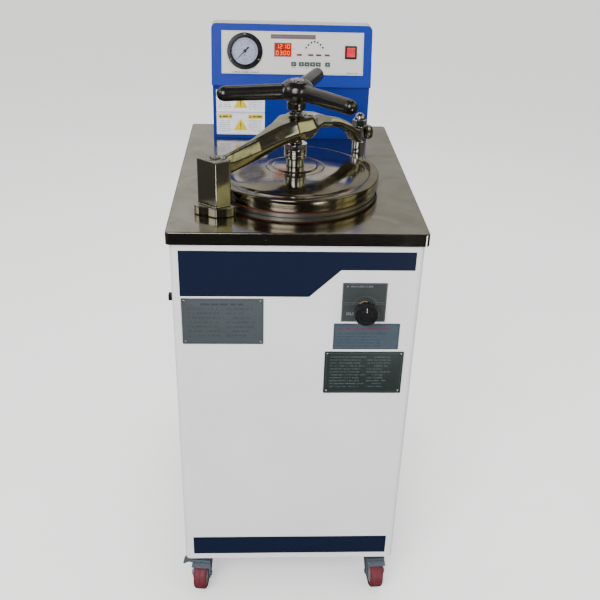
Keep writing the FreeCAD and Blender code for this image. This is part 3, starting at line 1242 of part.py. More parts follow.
# --- write every node ----------------------------------------------------------------
def main():
    os.makedirs("parts", exist_ok=True)
    single = (cabinet_shell, rear_panel, chassis, worktop, pressure_vessel, vessel_gasket, insulation_jacket,
              heater_element, heater_guard, drain_pipe, exhaust_valve, exhaust_knob, safety_valve, cable_gland,
              console_neck, console_head, console_shell, control_panel, control_board, gauge_case, gauge_dial,
              gauge_needle, gauge_glass, display_window, rocker_frame, power_rocker, hinge_bracket, hinge_pin,
              swing_arm, latch_post, lid, thrust_collar, clamp_screw, handwheel, breaker_body, reset_button)
    for builder in single:
        save(builder.__name__, [builder()])
    several = (vinyl_stripes, data_plates, round_head_screws, valve_scale_plates, notice_labels, vessel_probes,
               steam_pipes, status_lights, castor_plates)
    for builder in several:
        save(builder.__name__, builder())
    for index, x in enumerate(KEY_CENTRES):
        save("key_%d" % (index + 1), [key_cap(x)])
    for name, spot, heading in CASTORS:
        fork = braked_fork() if name == "front_left" else castor_fork()
        save("fork_" + name, [at_castor(fork, spot, heading)])
        save("wheel_" + name, [at_castor(castor_wheel(), spot, heading)])
        if name == "front_left":
            save("brake_pedal", [at_castor(brake_pedal(), spot, heading)])


main()
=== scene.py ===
import json
import math
import random

import bmesh
import bpy
from mathutils import Matrix, Vector

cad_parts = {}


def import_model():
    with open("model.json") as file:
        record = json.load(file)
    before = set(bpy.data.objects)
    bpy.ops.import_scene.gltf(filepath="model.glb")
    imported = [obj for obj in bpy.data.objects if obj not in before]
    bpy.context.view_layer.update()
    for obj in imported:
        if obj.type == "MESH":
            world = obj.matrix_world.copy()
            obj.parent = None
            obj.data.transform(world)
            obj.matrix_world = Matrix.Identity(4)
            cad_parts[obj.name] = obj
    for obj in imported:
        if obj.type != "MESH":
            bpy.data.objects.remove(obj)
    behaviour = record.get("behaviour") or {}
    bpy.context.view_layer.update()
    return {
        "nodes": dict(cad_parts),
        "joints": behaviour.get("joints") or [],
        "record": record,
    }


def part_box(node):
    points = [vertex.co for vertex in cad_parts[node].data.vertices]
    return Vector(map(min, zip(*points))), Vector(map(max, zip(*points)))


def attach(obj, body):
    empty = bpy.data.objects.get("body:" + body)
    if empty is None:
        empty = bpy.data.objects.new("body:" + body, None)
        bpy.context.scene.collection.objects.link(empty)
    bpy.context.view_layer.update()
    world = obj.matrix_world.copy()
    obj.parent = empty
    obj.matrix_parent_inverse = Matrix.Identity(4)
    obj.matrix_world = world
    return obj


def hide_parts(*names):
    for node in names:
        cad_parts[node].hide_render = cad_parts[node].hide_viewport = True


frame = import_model()
RECORD = frame["record"]
NODES = frame["nodes"]
MM = 0.001
random.seed(7)


# ---------------------------------------------------------------- places
def low(node):
    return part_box(node)[0]


def high(node):
    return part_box(node)[1]


def mid(node):
    a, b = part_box(node)
    return (a + b) / 2


def joint(name):
    return next(j for j in frame["joints"] if j["name"] == name)


# ---------------------------------------------------------------- materials
class Graph:
    """Short hand for building node materials."""

    def __init__(self, name):
        self.mat = bpy.data.materials.new(name)
        self.mat.use_nodes = True
        self.tree = self.mat.node_tree
        self.tree.nodes.clear()
        self.out = self.add("ShaderNodeOutputMaterial")
        self.coord = self.add("ShaderNodeTexCoord").outputs["Object"]

    def add(self, kind, **inputs):
        node = self.tree.nodes.new(kind)
        for key, value in inputs.items():
            self.put(node, key.replace("_", " "), value)
        return node

    def put(self, node, key, value):
        socket = node.inputs[key]
        if isinstance(value, bpy.types.NodeSocket):
            self.tree.links.new(value, socket)
        else:
            socket.default_value = value

    def noise(self, scale, detail=3.0, stretch=(1, 1, 1), distort=0.0):
        mapping = self.add("ShaderNodeMapping")
        self.put(mapping, "Vector", self.coord)
        self.put(mapping, "Scale", stretch)
        node = self.add("ShaderNodeTexNoise", Scale=scale, Detail=detail, Distortion=distort)
        self.put(node, "Vector", mapping.outputs["Vector"])
        return node.outputs["Fac"]

    def voronoi(self, scale):
        node = self.add("ShaderNodeTexVoronoi", Scale=scale)
        self.put(node, "Vector", self.coord)
        return node.outputs["Distance"]

    def ramp(self, value, a, b, lo=0.0, hi=1.0):
        node = self.add("ShaderNodeMapRange")
        self.put(node, "Value", value)
        for key, number in (("From Min", a), ("From Max", b), ("To Min", lo), ("To Max", hi)):
            self.put(node, key, number)
        return node.outputs["Result"]

    def math(self, operation, a, b=0.0):
        node = self.add("ShaderNodeMath")
        node.operation = operation
        for index, value in enumerate((a, b)):
            if isinstance(value, bpy.types.NodeSocket):
                self.tree.links.new(value, node.inputs[index])
            else:
                node.inputs[index].default_value = value
        return node.outputs["Value"]

    def mix(self, factor, a, b):
        node = self.add("ShaderNodeMix")
        node.data_type = "RGBA"
        for index, value in ((0, factor), (6, a), (7, b)):
            if isinstance(value, bpy.types.NodeSocket):
                self.tree.links.new(value, node.inputs[index])
            else:
                node.inputs[index].default_value = value
        return node.outputs[2]

    def bump(self, height, strength, distance, normal=None):
        node = self.add("ShaderNodeBump", Strength=strength, Distance=distance)
        self.put(node, "Height", height)
        if normal is not None:
            self.put(node, "Normal", normal)
        return node.outputs["Normal"]


def rgb(r, g, b):
    """sRGB 0-255 to a linear colour."""
    def lin(c):
        c = c / 255.0
        return c / 12.92 if c <= 0.04045 else ((c + 0.055) / 1.055) ** 2.4
    return (lin(r), lin(g), lin(b), 1.0)


def shade(colour, factor):
    return (colour[0] * factor, colour[1] * factor, colour[2] * factor, 1.0)


def paint(name, colour, rough=0.38, peel=0.25, occlusion_shade=0.35, edge=0.0008):
    """Powder coat: orange peel, faint mottling, and painted shade darkening the colour in corners and crevices."""
    g = Graph(name)
    fine = g.noise(900, 2.0)
    broad = g.noise(7, 4.0)
    rub = g.noise(60, 3.0, stretch=(1, 1, 0.25))
    rounded = g.add("ShaderNodeBevel", Radius=edge)
    rounded.samples = 4
    normal = g.bump(fine, peel * 0.35, 0.0004, rounded.outputs["Normal"])
    normal = g.bump(broad, 0.05, 0.003, normal)
    # Painted shade: where ambient occlusion finds corners and crevices, the colour darkens towards 45 % of itself.
    occlusion = g.add("ShaderNodeAmbientOcclusion", Distance=0.03)
    occlusion.samples = 6
    corner = g.ramp(occlusion.outputs["AO"], 0.35, 0.9, occlusion_shade, 0.0)
    base = g.mix(g.ramp(broad, 0.35, 0.65, 0.0, 1.0), colour, shade(colour, 0.95))
    base = g.mix(corner, base, shade(colour, 0.45))
    roughness = g.math("ADD", g.ramp(rub, 0.3, 0.7, rough - 0.06, rough + 0.08), g.ramp(fine, 0.3, 0.7, -0.03, 0.03))
    bsdf = g.add("ShaderNodeBsdfPrincipled", Base_Color=base, Roughness=roughness, Normal=normal)
    g.put(bsdf, "Specular IOR Level", 0.45)
    g.tree.links.new(bsdf.outputs[0], g.out.inputs[0])
    return g.mat


def metal(name, colour, rough=0.15, wave=0.0, wave_scale=18, grain=0.0, stretch=(1, 1, 1), scratch=0.4,
          smudge=0.12, tint=None, edge=0.0006, occlusion_shade=0.3, metallic=1.0, matt_below=None):
    """Metal with hand-polishing waves, brushed grain, fine scratches and smudges, a duller satin depth, and painted
    shade in its corners.
    """
    g = Graph(name)
    if matt_below:
        split = g.add("ShaderNodeSeparateXYZ")
        g.put(split, "Vector", g.coord)
        metallic = g.ramp(split.outputs["Z"], matt_below - 0.03, matt_below, metallic, 1.0)
    rounded = g.add("ShaderNodeBevel", Radius=edge)
    rounded.samples = 4
    normal = rounded.outputs["Normal"]
    if wave:
        normal = g.bump(g.noise(wave_scale, 2.0), wave, 0.004, normal)
    if grain:
        normal = g.bump(g.noise(420, 3.0, stretch=stretch), grain, 0.0004, normal)
    hair = g.noise(260, 2.0, stretch=(1.0, 0.04, 0.3), distort=0.6)
    hair_b = g.noise(210, 2.0, stretch=(0.05, 1.0, 0.4), distort=0.8)
    lines = g.math("ADD", g.ramp(hair, 0.66, 0.72, 0, 1), g.ramp(hair_b, 0.68, 0.73, 0, 1))
    normal = g.bump(lines, scratch * 0.08, 0.0003, normal)
    film = g.noise(14, 5.0, distort=0.7)
    prints = g.noise(55, 3.0)
    roughness = g.math("ADD", g.ramp(film, 0.35, 0.7, rough, rough + smudge), g.ramp(prints, 0.55, 0.75, 0.0, smudge * 0.5))
    roughness = g.math("ADD", roughness, g.math("MULTIPLY", lines, scratch * 0.12))
    # Painted shade: ambient occlusion darkens the colour towards 25 % of itself in corners and crevices.
    occlusion = g.add("ShaderNodeAmbientOcclusion", Distance=0.02)
    occlusion.samples = 5
    corner = g.ramp(occlusion.outputs["AO"], 0.3, 0.85, occlusion_shade, 0.0)
    base = g.mix(g.ramp(film, 0.3, 0.7, 0, 1), colour, tint or shade(colour, 0.88))
    base = g.mix(corner, base, shade(colour, 0.25))
    bsdf = g.add("ShaderNodeBsdfPrincipled", Base_Color=base, Roughness=roughness, Metallic=metallic, Normal=normal)
    g.tree.links.new(bsdf.outputs[0], g.out.inputs[0])
    return g.mat


def plastic(name, colour, rough=0.4, texture=0.3, scale=1400, spec=0.5, edge=0.0005, glow=None, glow_power=0.0,
            scuffs=0.35):
    """Moulded plastic or rubber: fine texture, scuffs and rubbed highlights."""
    g = Graph(name)
    rounded = g.add("ShaderNodeBevel", Radius=edge)
    rounded.samples = 4
    grain = g.noise(scale, 2.0)
    scuff = g.noise(48, 4.0, distort=0.5)
    normal = g.bump(grain, texture * 0.5, 0.0003, rounded.outputs["Normal"])
    base = g.mix(g.ramp(scuff, 0.4, 0.72, 0, scuffs), colour, shade(colour, 1.35))
    low_rough, high_rough = rough - 0.23 * scuffs, rough + 0.28 * scuffs
    roughness = g.math("ADD", g.ramp(scuff, 0.3, 0.7, low_rough, high_rough), g.ramp(grain, 0.3, 0.7, -0.04, 0.04))
    bsdf = g.add("ShaderNodeBsdfPrincipled", Base_Color=base, Roughness=roughness, Normal=normal)
    g.put(bsdf, "Specular IOR Level", spec)
    if glow:
        g.put(bsdf, "Emission Color", glow)
        g.put(bsdf, "Emission Strength", glow_power)
    g.tree.links.new(bsdf.outputs[0], g.out.inputs[0])
    return g.mat


def ink(name, colour, rough=0.5):
    """Printed ink with slightly uneven density."""
    g = Graph(name)
    mottle = g.noise(800, 2.0)
    base = g.mix(g.ramp(mottle, 0.35, 0.7, 0, 0.35), colour, shade(colour, 1.5))
    bsdf = g.add("ShaderNodeBsdfPrincipled", Base_Color=base, Roughness=g.ramp(mottle, 0.3, 0.7, rough - 0.06, rough + 0.08))
    g.put(bsdf, "Normal", g.bump(mottle, 0.08, 0.0002))
    g.tree.links.new(bsdf.outputs[0], g.out.inputs[0])
    return g.mat


def glass(name):
    g = Graph(name)
    film = g.noise(30, 3.0)
    gloss = g.add("ShaderNodeBsdfGlossy", Color=(1, 1, 1, 1), Roughness=g.ramp(film, 0.4, 0.7, 0.015, 0.08))
    g.put(gloss, "Normal", g.bump(film, 0.03, 0.0004))
    clear = g.add("ShaderNodeBsdfTransparent", Color=(0.96, 0.97, 0.98, 1))
    fresnel = g.add("ShaderNodeFresnel", IOR=1.45)
    blend = g.add("ShaderNodeMixShader")
    g.tree.links.new(fresnel.outputs[0], blend.inputs[0])
    g.tree.links.new(clear.outputs[0], blend.inputs[1])
    g.tree.links.new(gloss.outputs[0], blend.inputs[2])
    g.tree.links.new(blend.outputs[0], g.out.inputs[0])
    return g.mat


WHITE = paint("white_powder_coat", rgb(224, 224, 226), peel=0.18)
BLUE = paint("blue_powder_coat", rgb(4, 42, 142), rough=0.42, peel=0.25, occlusion_shade=0.5)
GREY = paint("grey_powder_coat", rgb(176, 175, 166), rough=0.4)
ZINC = metal("zinc_plate", rgb(124, 134, 148), rough=0.26, grain=0.1, smudge=0.2, occlusion_shade=0.5, metallic=0.6)
STEEL = metal("brushed_sheet", rgb(186, 184, 174), rough=0.1, grain=0.05, stretch=(0.02, 1, 1), smudge=0.1,
              scratch=0.6, tint=rgb(166, 160, 148))
CAST = metal("polished_casting", rgb(190, 186, 172), rough=0.08, wave=0.14, wave_scale=26, smudge=0.1, scratch=0.5,
             tint=rgb(172, 168, 146))
LIDMETAL = metal("polished_lid", rgb(164, 158, 140), rough=0.08, wave=0.06, wave_scale=30, smudge=0.1, scratch=0.6,
                 tint=rgb(146, 136, 118))
CHROME = metal("chrome", rgb(222, 223, 224), rough=0.03, smudge=0.05, scratch=0.25)
INNER = metal("vessel_steel", rgb(178, 178, 174), rough=0.3, grain=0.15, stretch=(1, 1, 0.03), smudge=0.15,
              metallic=0.45, matt_below=0.94)
BRASS = metal("turned_brass", rgb(232, 200, 124), rough=0.4, grain=0.04, smudge=0.15, metallic=0.4)
COPPER = metal("copper_tube", rgb(186, 110, 78), rough=0.25, smudge=0.2)
ETCHED = metal("etched_plate", rgb(80, 87, 91), rough=0.32, grain=0.1, stretch=(0.03, 1, 1), scratch=0.5,
               metallic=0.3)
DARKPLATE = metal("dark_plate", rgb(46, 54, 53), rough=0.35, grain=0.1, stretch=(0.03, 1, 1), metallic=0.3)
SCALEPLATE = metal("scale_plate", rgb(82, 88, 88), rough=0.14, grain=0.02, stretch=(0.03, 1, 1), smudge=0.06,
                   metallic=0.5)
PANEL = paint("panel_overlay", rgb(202, 202, 198), rough=0.42, peel=0.12, occlusion_shade=0.15, edge=0.0003)
NAVY = plastic("navy_film", rgb(16, 25, 48), rough=0.34, texture=0.0, scale=500, spec=0.3, scuffs=0.05,
               edge=0.00005)
BLACK = plastic("black_plastic", rgb(16, 16, 18), rough=0.5, texture=0.35)
GLOSSBLACK = plastic("black_enamel", rgb(20, 20, 22), rough=0.22, texture=0.08)
GASKET = plastic("red_silicone", rgb(98, 40, 34), rough=0.5, texture=0.25)
TYRE = plastic("red_tyre", rgb(98, 34, 46), rough=0.45, texture=0.35, scale=500)
HUBMAT = plastic("grey_hub", rgb(120, 122, 126), rough=0.45, texture=0.3)
KEYS = plastic("key_rubber", rgb(64, 78, 74), rough=0.55, texture=0.3)
LABEL = plastic("label_film", rgb(236, 238, 246), rough=0.35, texture=0.05, scale=300, edge=0.00005)
WARN = plastic("caution_film", rgb(58, 71, 82), rough=0.38, texture=0.06, scale=300, edge=0.00005)
DIAL = plastic("dial_face", rgb(188, 190, 214), rough=0.4, texture=0.05)
REDWINDOW = plastic("display_window", rgb(150, 30, 16), rough=0.16, texture=0.04, glow=rgb(190, 32, 16), glow_power=0.35)
DIGIT = plastic("lit_segment", rgb(255, 110, 40), rough=0.4, texture=0.05, glow=rgb(255, 92, 30), glow_power=0.8)
DIM = plastic("unlit_segment", rgb(96, 14, 8), rough=0.3, texture=0.05)
ROCKER = plastic("rocker_red", rgb(196, 40, 54), rough=0.2, texture=0.06, glow=rgb(220, 40, 50), glow_power=0.25)
LAMP = plastic("lamp_lens", rgb(58, 34, 34), rough=0.22, texture=0.05)
LAMPBAR = plastic("lamp_bar", rgb(112, 44, 42), rough=0.3, texture=0.08)
WOOL = plastic("glass_wool", rgb(214, 206, 184), rough=0.9, texture=1.0, scale=260)
BOARD = plastic("board_green", rgb(30, 92, 52), rough=0.4, texture=0.3)
INK = ink("dark_ink", rgb(48, 50, 54))
GREYINK = ink("grey_ink", rgb(96, 98, 104))
FADEDINK = ink("faded_ink", rgb(72, 84, 84))
SLATEINK = ink("slate_ink", rgb(50, 56, 66))
PALEINK = ink("pale_ink", rgb(206, 212, 218))
YELLOW = ink("yellow_ink", rgb(216, 196, 8))
REDINK = ink("red_ink", rgb(96, 44, 62))
GLASS = glass("gauge_glass_clear")

KEPT = {
    "cabinet_shell": WHITE, "rear_panel": WHITE, "chassis": ZINC, "worktop": STEEL, "vinyl_stripes": NAVY,
    "valve_scale_plates": SCALEPLATE, "pressure_vessel": INNER, "vessel_gasket": GASKET, "insulation_jacket": WOOL, "heater_element": INNER,
    "heater_guard": INNER, "drain_pipe": INNER, "steam_pipes": COPPER, "exhaust_valve": BRASS, "safety_valve": BRASS,
    "vessel_probes": INNER, "cable_gland": BLACK, "console_neck": BLUE, "console_head": BLUE, "console_shell": GREY,
    "control_panel": PANEL, "control_board": BOARD, "gauge_needle": GLOSSBLACK, "gauge_glass": GLASS,
    "gauge_dial": DIAL, "display_window": REDWINDOW, "rocker_frame": BLACK, "power_rocker": ROCKER,
    "breaker_body": BLACK, "reset_button": BLACK, "castor_plates": ZINC, "brake_pedal": ZINC,
    "round_head_screws": CHROME, "data_plates": ETCHED, "notice_labels": LABEL,
    "fork_front_left": ZINC, "fork_front_right": ZINC, "fork_rear_left": ZINC, "fork_rear_right": ZINC,
}
for index in range(1, 7):
    KEPT["key_%d" % index] = KEYS


TITLE = ink("title_ink", rgb(96, 76, 80))
WAVYCAST = metal("ground_casting", rgb(190, 186, 172), rough=0.09, wave=0.4, wave_scale=13, smudge=0.1, scratch=0.4,
                 tint=rgb(172, 168, 146))
# Painted shade: a darker copy of the polished casting for the handwheel. Its lowered colour stands in for the dim room
# its polished arms reflect.
SHADEDCAST = metal("dark_casting", rgb(132, 130, 128), rough=0.2, wave=0.1, wave_scale=26, smudge=0.08, scratch=0.1,
                 tint=rgb(112, 110, 104))


def dress(obj, material):
    obj.data.materials.clear()
    obj.data.materials.append(material)


# ---------------------------------------------------------------- mesh tools
def crease_at(mesh, degrees):
    for face in mesh.polygons:
        face.use_smooth = True
    mesh.set_sharp_from_angle(angle=math.radians(degrees))


def piece(name, bm, material, body, replaced=(), crease=32):
    """Turns a bmesh in the row frame into an object that rides on a body."""
    bmesh.ops.recalc_face_normals(bm, faces=bm.faces)
    mesh = bpy.data.meshes.new(name)
    bm.to_mesh(mesh)
    bm.free()
    crease_at(mesh, crease)
    obj = bpy.data.objects.new(name, mesh)
    bpy.context.scene.collection.objects.link(obj)
    mesh.materials.append(material)
    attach(obj, body)
    if replaced:
        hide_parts(*replaced)
    return obj


def bake(obj, crease=None):
    """Applies the modifiers, keeping the materials."""
    graph = bpy.context.evaluated_depsgraph_get()
    mesh = bpy.data.meshes.new_from_object(obj.evaluated_get(graph))
    obj.modifiers.clear()
    obj.data = mesh
    if crease:
        crease_at(mesh, crease)


def grid(rows, wrap_rows=False):
    """Skin over rows of points; each row is a closed ring."""
    bm = bmesh.new()
    table = [[bm.verts.new(p) for p in row] for row in rows]
    count = len(table)
    for i in range(count if wrap_rows else count - 1):
        a, b = table[i], table[(i + 1) % count]
        for j in range(len(a)):
            k = (j + 1) % len(a)
            bm.faces.new((a[j], a[k], b[k], b[j]))
    return bm


def tidy(bm, gap=1e-6):
    bmesh.ops.remove_doubles(bm, verts=bm.verts, dist=gap)
    bmesh.ops.dissolve_degenerate(bm, edges=bm.edges, dist=gap)
    return bm


def lathe(profile, matrix, segments=96, closed=False, radius_at=None):
    """Turns (radius, height) points about the local Z axis; radius_at(angle, r, z) may modulate the radius."""
    rows = []
    for r, z in profile:
        row = []
        for j in range(segments):
            angle = 2 * math.pi * j / segments
            reach = radius_at(angle, r, z) if radius_at else r
            row.append(matrix @ Vector((reach * math.cos(angle), reach * math.sin(angle), z)))
        rows.append(row)
    return tidy(grid(rows, wrap_rows=closed))


def fillet(points, radius, steps=4, closed=False):
    """Rounds the corners of an outline; radius may be a number or one number per point."""
    count = len(points)
    smoothed = []
    for i, point in enumerate(points):
        p = Vector(point)
        reach = radius[i] if isinstance(radius, (list, tuple)) else radius
        if reach <= 0 or (not closed and i in (0, count - 1)):
            smoothed.append(tuple(p))
            continue
        before_p, after_p = Vector(points[i - 1]), Vector(points[(i + 1) % count])
        back, on = before_p - p, after_p - p
        cut = min(reach, 0.45 * back.length, 0.45 * on.length)
        a, b = p + back.normalized() * cut, p + on.normalized() * cut
        for k in range(steps + 1):
            t = k / steps
            smoothed.append(tuple(a * (1 - t) ** 2 + p * 2 * t * (1 - t) + b * t ** 2))
    return smoothed


def slab(outlines, z0, z1, matrix, bm=None):
    """Flat plates between two heights, one for each closed outline of (x, y) points."""
    bm = bm or bmesh.new()
    for outline in outlines:
        low_ring = [bm.verts.new(matrix @ Vector((x, y, z0))) for x, y in outline]
        high_ring = [bm.verts.new(matrix @ Vector((x, y, z1))) for x, y in outline]
        count = len(outline)
        bm.faces.new(high_ring)
        bm.faces.new(list(reversed(low_ring)))
        for j in range(count):
            k = (j + 1) % count
            bm.faces.new((low_ring[j], low_ring[k], high_ring[k], high_ring[j]))
    return bm


def rect(x0, y0, x1, y1, radius=0.0):
    corners = [(x0, y0), (x1, y0), (x1, y1), (x0, y1)]
    return fillet(corners, radius, 4, True) if radius else corners


def ring_outline(x, y, radius, count=24, start=0.0):
    return [(x + radius * math.cos(start + 2 * math.pi * j / count),
             y + radius * math.sin(start + 2 * math.pi * j / count)) for j in range(count)]


def capsule(bm, start, end, radius_a, radius_b, segments=32, rings=8):
    """Round-ended bar whose radius runs from radius_a to radius_b."""
    axis = (end - start)
    turn = axis.to_track_quat("Z", "Y").to_matrix().to_4x4()
    profile = [(radius_a * math.sin(math.pi / 2 * i / rings), -radius_a * math.cos(math.pi / 2 * i / rings))
               for i in range(rings + 1)]
    profile += [(radius_b * math.cos(math.pi / 2 * i / rings), axis.length + radius_b * math.sin(math.pi / 2 * i / rings))
                for i in range(rings + 1)]
    part = lathe(profile, Matrix.Translation(start) @ turn, segments)
    join(bm, part)


def join(bm, part):
    mesh = bpy.data.meshes.new("part")
    bmesh.ops.recalc_face_normals(part, faces=part.faces)
    part.to_mesh(mesh)
    part.free()
    bm.from_mesh(mesh)
    bpy.data.meshes.remove(mesh)


def cad_copy(node):
    bm = bmesh.new()
    bm.from_mesh(NODES[node].data)
    bmesh.ops.remove_doubles(bm, verts=bm.verts, dist=1e-6)
    return bm


def cast(name, bm, material, body, replaced, voxel=0.0014, rounds=8, factor=0.5, crease=None):
    """Fuses overlapping solids into one casting with blended joins."""
    obj = piece(name, bm, material, body, replaced)
    remesh = obj.modifiers.new("fuse", "REMESH")
    remesh.mode = "VOXEL"
    remesh.voxel_size = voxel
    remesh.adaptivity = 0.0
    remesh.use_smooth_shade = True
    soften = obj.modifiers.new("soften", "SMOOTH")
    soften.iterations = rounds
    soften.factor = factor
    bake(obj, crease)
    return obj


# ---------------------------------------------------------------- reference frames
CHAMBER = Matrix.Translation((mid("lid").x, mid("lid").y, 0))
HINGE = Matrix.Translation((mid("hinge_pin").x, mid("hinge_pin").y, 0))
LATCH = Matrix.Translation((mid("latch_post").x, mid("latch_post").y, 0))
INWARD = Vector(joint("key_1_press")["axis"])
ACROSS = Vector((1, 0, 0))


def facing(origin, outward):
    """Frame on a face: x across, y up the face, z out of it."""
    up = outward.cross(ACROSS)
    turn = Matrix((ACROSS, up, outward)).transposed().to_4x4()
    return Matrix.Translation(origin) @ turn


head_low = low("console_head")
FACE = facing(Vector((mid("console_head").x, head_low.y, head_low.z)), -INWARD)
FRONT = facing(Vector((mid("cabinet_shell").x, low("cabinet_shell").y, 0)), Vector((0, -1, 0)))
NECK = facing(Vector((mid("console_neck").x, low("console_neck").y, 0)), Vector((0, -1, 0)))
TO_FACE = FACE.inverted()


def face_box(node):
    """Extent of a console node in the face frame: (x0, y0, x1, y1, highest z)."""
    points = [TO_FACE @ v.co for v in NODES[node].data.vertices]
    xs, ys, zs = [p.x for p in points], [p.y for p in points], [p.z for p in points]
    return min(xs), min(ys), max(xs), max(ys), max(zs)


# ---------------------------------------------------------------- lid and closure
def lid():
    r = (high("lid").x - low("lid").x) / 2
    bottom, top = low("lid").z, high("lid").z
    rim_top, plate_top = bottom + 24.9 * MM, bottom + 30.9 * MM
    groove = 1.2 * MM
    profile = [(0, bottom + 15 * MM), (60 * MM, bottom + 14 * MM), (110 * MM, bottom + 10 * MM),
               (147 * MM, bottom), (r, bottom)]
    radii = [0, 0, 0, 0, 1.2 * MM]
    for z in (7.5, 10.6):
        profile += [(r, bottom + z * MM), (r - groove, bottom + (z + 0.5) * MM),
                    (r - groove, bottom + (z + 1.3) * MM), (r, bottom + (z + 1.8) * MM)]
        radii += [0.5 * MM, 0.3 * MM, 0.3 * MM, 0.5 * MM]
    profile += [(r, rim_top), (157 * MM, rim_top), (155.5 * MM, rim_top - 0.8 * MM), (154 * MM, rim_top)]
    crown, inner = plate_top + 1.5 * MM, 62 * MM
    profile += [(k * MM, crown - 0.295 * ((k * MM) ** 2 - inner ** 2)) for k in (150, 136, 122, 108, 94, 78)]
    profile += [(inner, crown), (60.6 * MM, crown - 0.7 * MM), (59.2 * MM, crown), (48 * MM, crown), (45 * MM, top), (0, top)]
    radii += [4.0 * MM, 0.8 * MM, 0.5 * MM, 0.8 * MM, 1.6 * MM, 0, 0, 0, 0, 0]
    radii += [0.5 * MM, 0.4 * MM, 0.5 * MM, 1.2 * MM, 1.0 * MM, 0]
    bm = lathe(fillet(profile, radii), CHAMBER, 200)
    piece("lid_plate", bm, LIDMETAL, "lid", ["lid"], 40)


def collar():
    a, b = low("thrust_collar").z, high("thrust_collar").z
    foot, r, bore = 19 * MM, 24 * MM, 13.8 * MM
    profile = [(0, a), (foot, a), (foot, a + 16 * MM), (r, a + 19 * MM), (r, a + 25 * MM), (r - 0.8 * MM, a + 25.8 * MM),
               (r - 0.8 * MM, a + 27.2 * MM), (r, a + 28 * MM), (r, b), (bore, b), (bore, b - 12 * MM), (0, b - 12 * MM)]
    bm = lathe(fillet(profile, 1.3 * MM), CHAMBER, 96)
    piece("thrust_collar_ring", bm, CHROME, "lid", ["thrust_collar"], 40)


def clamp_screw():
    """Shaft with a trapezoidal right-hand thread, eight millimetres to the turn."""
    pitch, r, root = 8 * MM, 13 * MM, 10.4 * MM
    a, b = low("clamp_screw").z, high("clamp_screw").z
    start, stop = a + 10 * MM, a + 94 * MM
    rows_per_turn, segments = 16, 64
    rows = []
    plain = [(0, a), (16 * MM, a), (17 * MM, a + 1 * MM), (17 * MM, a + 7 * MM), (16 * MM, a + 8 * MM), (root, a + 8.4 * MM)]
    for radius, z in plain:
        rows.append([Vector((radius * math.cos(t), radius * math.sin(t), z)) for t in angles(segments)])
    steps = int((stop - start) / pitch * rows_per_turn)
    for i in range(steps + 1):
        z = start + (stop - start) * i / steps
        fade = min(1, i / 6, (steps - i) / 6)
        row = []
        for t in angles(segments):
            phase = (z / pitch - t / (2 * math.pi)) % 1.0
            wave = min(1, max(0, 2.4 * abs(2 * phase - 1) - 0.7))
            radius = root + (r - root) * wave * fade
            row.append(Vector((radius * math.cos(t), radius * math.sin(t), z)))
        rows.append(row)
    for radius, z in ((root, stop + 0.2 * MM), (root * 0.96, b - 2 * MM), (root * 0.86, b), (0, b)):
        rows.append([Vector((radius * math.cos(t), radius * math.sin(t), z)) for t in angles(segments)])
    bm = tidy(grid([[CHAMBER @ p for p in row] for row in rows]))
    piece("clamp_screw_threaded", bm, CAST, "screw", ["clamp_screw"], 50)


def angles(count):
    return [2 * math.pi * j / count for j in range(count)]


def handwheel():
    """Three thick round arms running into a low domed hub."""
    a, b = low("handwheel").z, high("handwheel").z
    centre = CHAMBER.translation
    arm_z = a + 37 * MM
    bm = bmesh.new()
    hub = [(0, a), (19.5 * MM, a), (19.5 * MM, a + 17 * MM), (24 * MM, a + 21 * MM), (32 * MM, a + 26 * MM),
           (35 * MM, a + 38 * MM), (32 * MM, a + 50 * MM), (22 * MM, b - 3.2 * MM), (0, b - 1.5 * MM)]
    join(bm, lathe(fillet(hub, 3 * MM), CHAMBER, 96))
    for degrees in (191, 311, 71):
        direction = Vector((math.cos(math.radians(degrees)), math.sin(math.radians(degrees)), 0))
        start = Vector((centre.x, centre.y, arm_z + 0.5 * MM))
        tip = Vector((centre.x, centre.y, arm_z)) + direction * 147.5 * MM
        capsule(bm, start, tip, 16.6 * MM, 15.2 * MM)
    cast("handwheel_casting", bm, SHADEDCAST, "screw", ["handwheel"], 0.0015, 14)
    cap = [(0, b - 6 * MM), (14 * MM, b - 6 * MM), (14 * MM, b - 2.5 * MM), (12.5 * MM, b - 1 * MM), (0, b)]
    piece("handwheel_cap", lathe(fillet(cap, 1.5 * MM), CHAMBER, 64), CHROME, "screw", (), 40)


def closure_arm():
    bm = cad_copy("swing_arm")
    cast("swing_arm_casting", bm, WAVYCAST, "closure_arm", ["swing_arm"], 0.0015, 60)


def bracket():
    bm = cad_copy("hinge_bracket")
    cast("hinge_bracket_casting", bm, WAVYCAST, "cabinet", ["hinge_bracket"], 0.0011, 12)
    a, b, r = low("hinge_pin").z, high("hinge_pin").z, 9 * MM
    profile = [(0, a), (r, a), (r, b - 1.6 * MM), (r - 1.6 * MM, b), (2.5 * MM, b), (1.8 * MM, b - 1.2 * MM), (0, b - 1.4 * MM)]
    piece("hinge_pin_turned", lathe(fillet(profile, 0.8 * MM), HINGE, 64), CAST, "cabinet",
          ["hinge_pin"], 40)


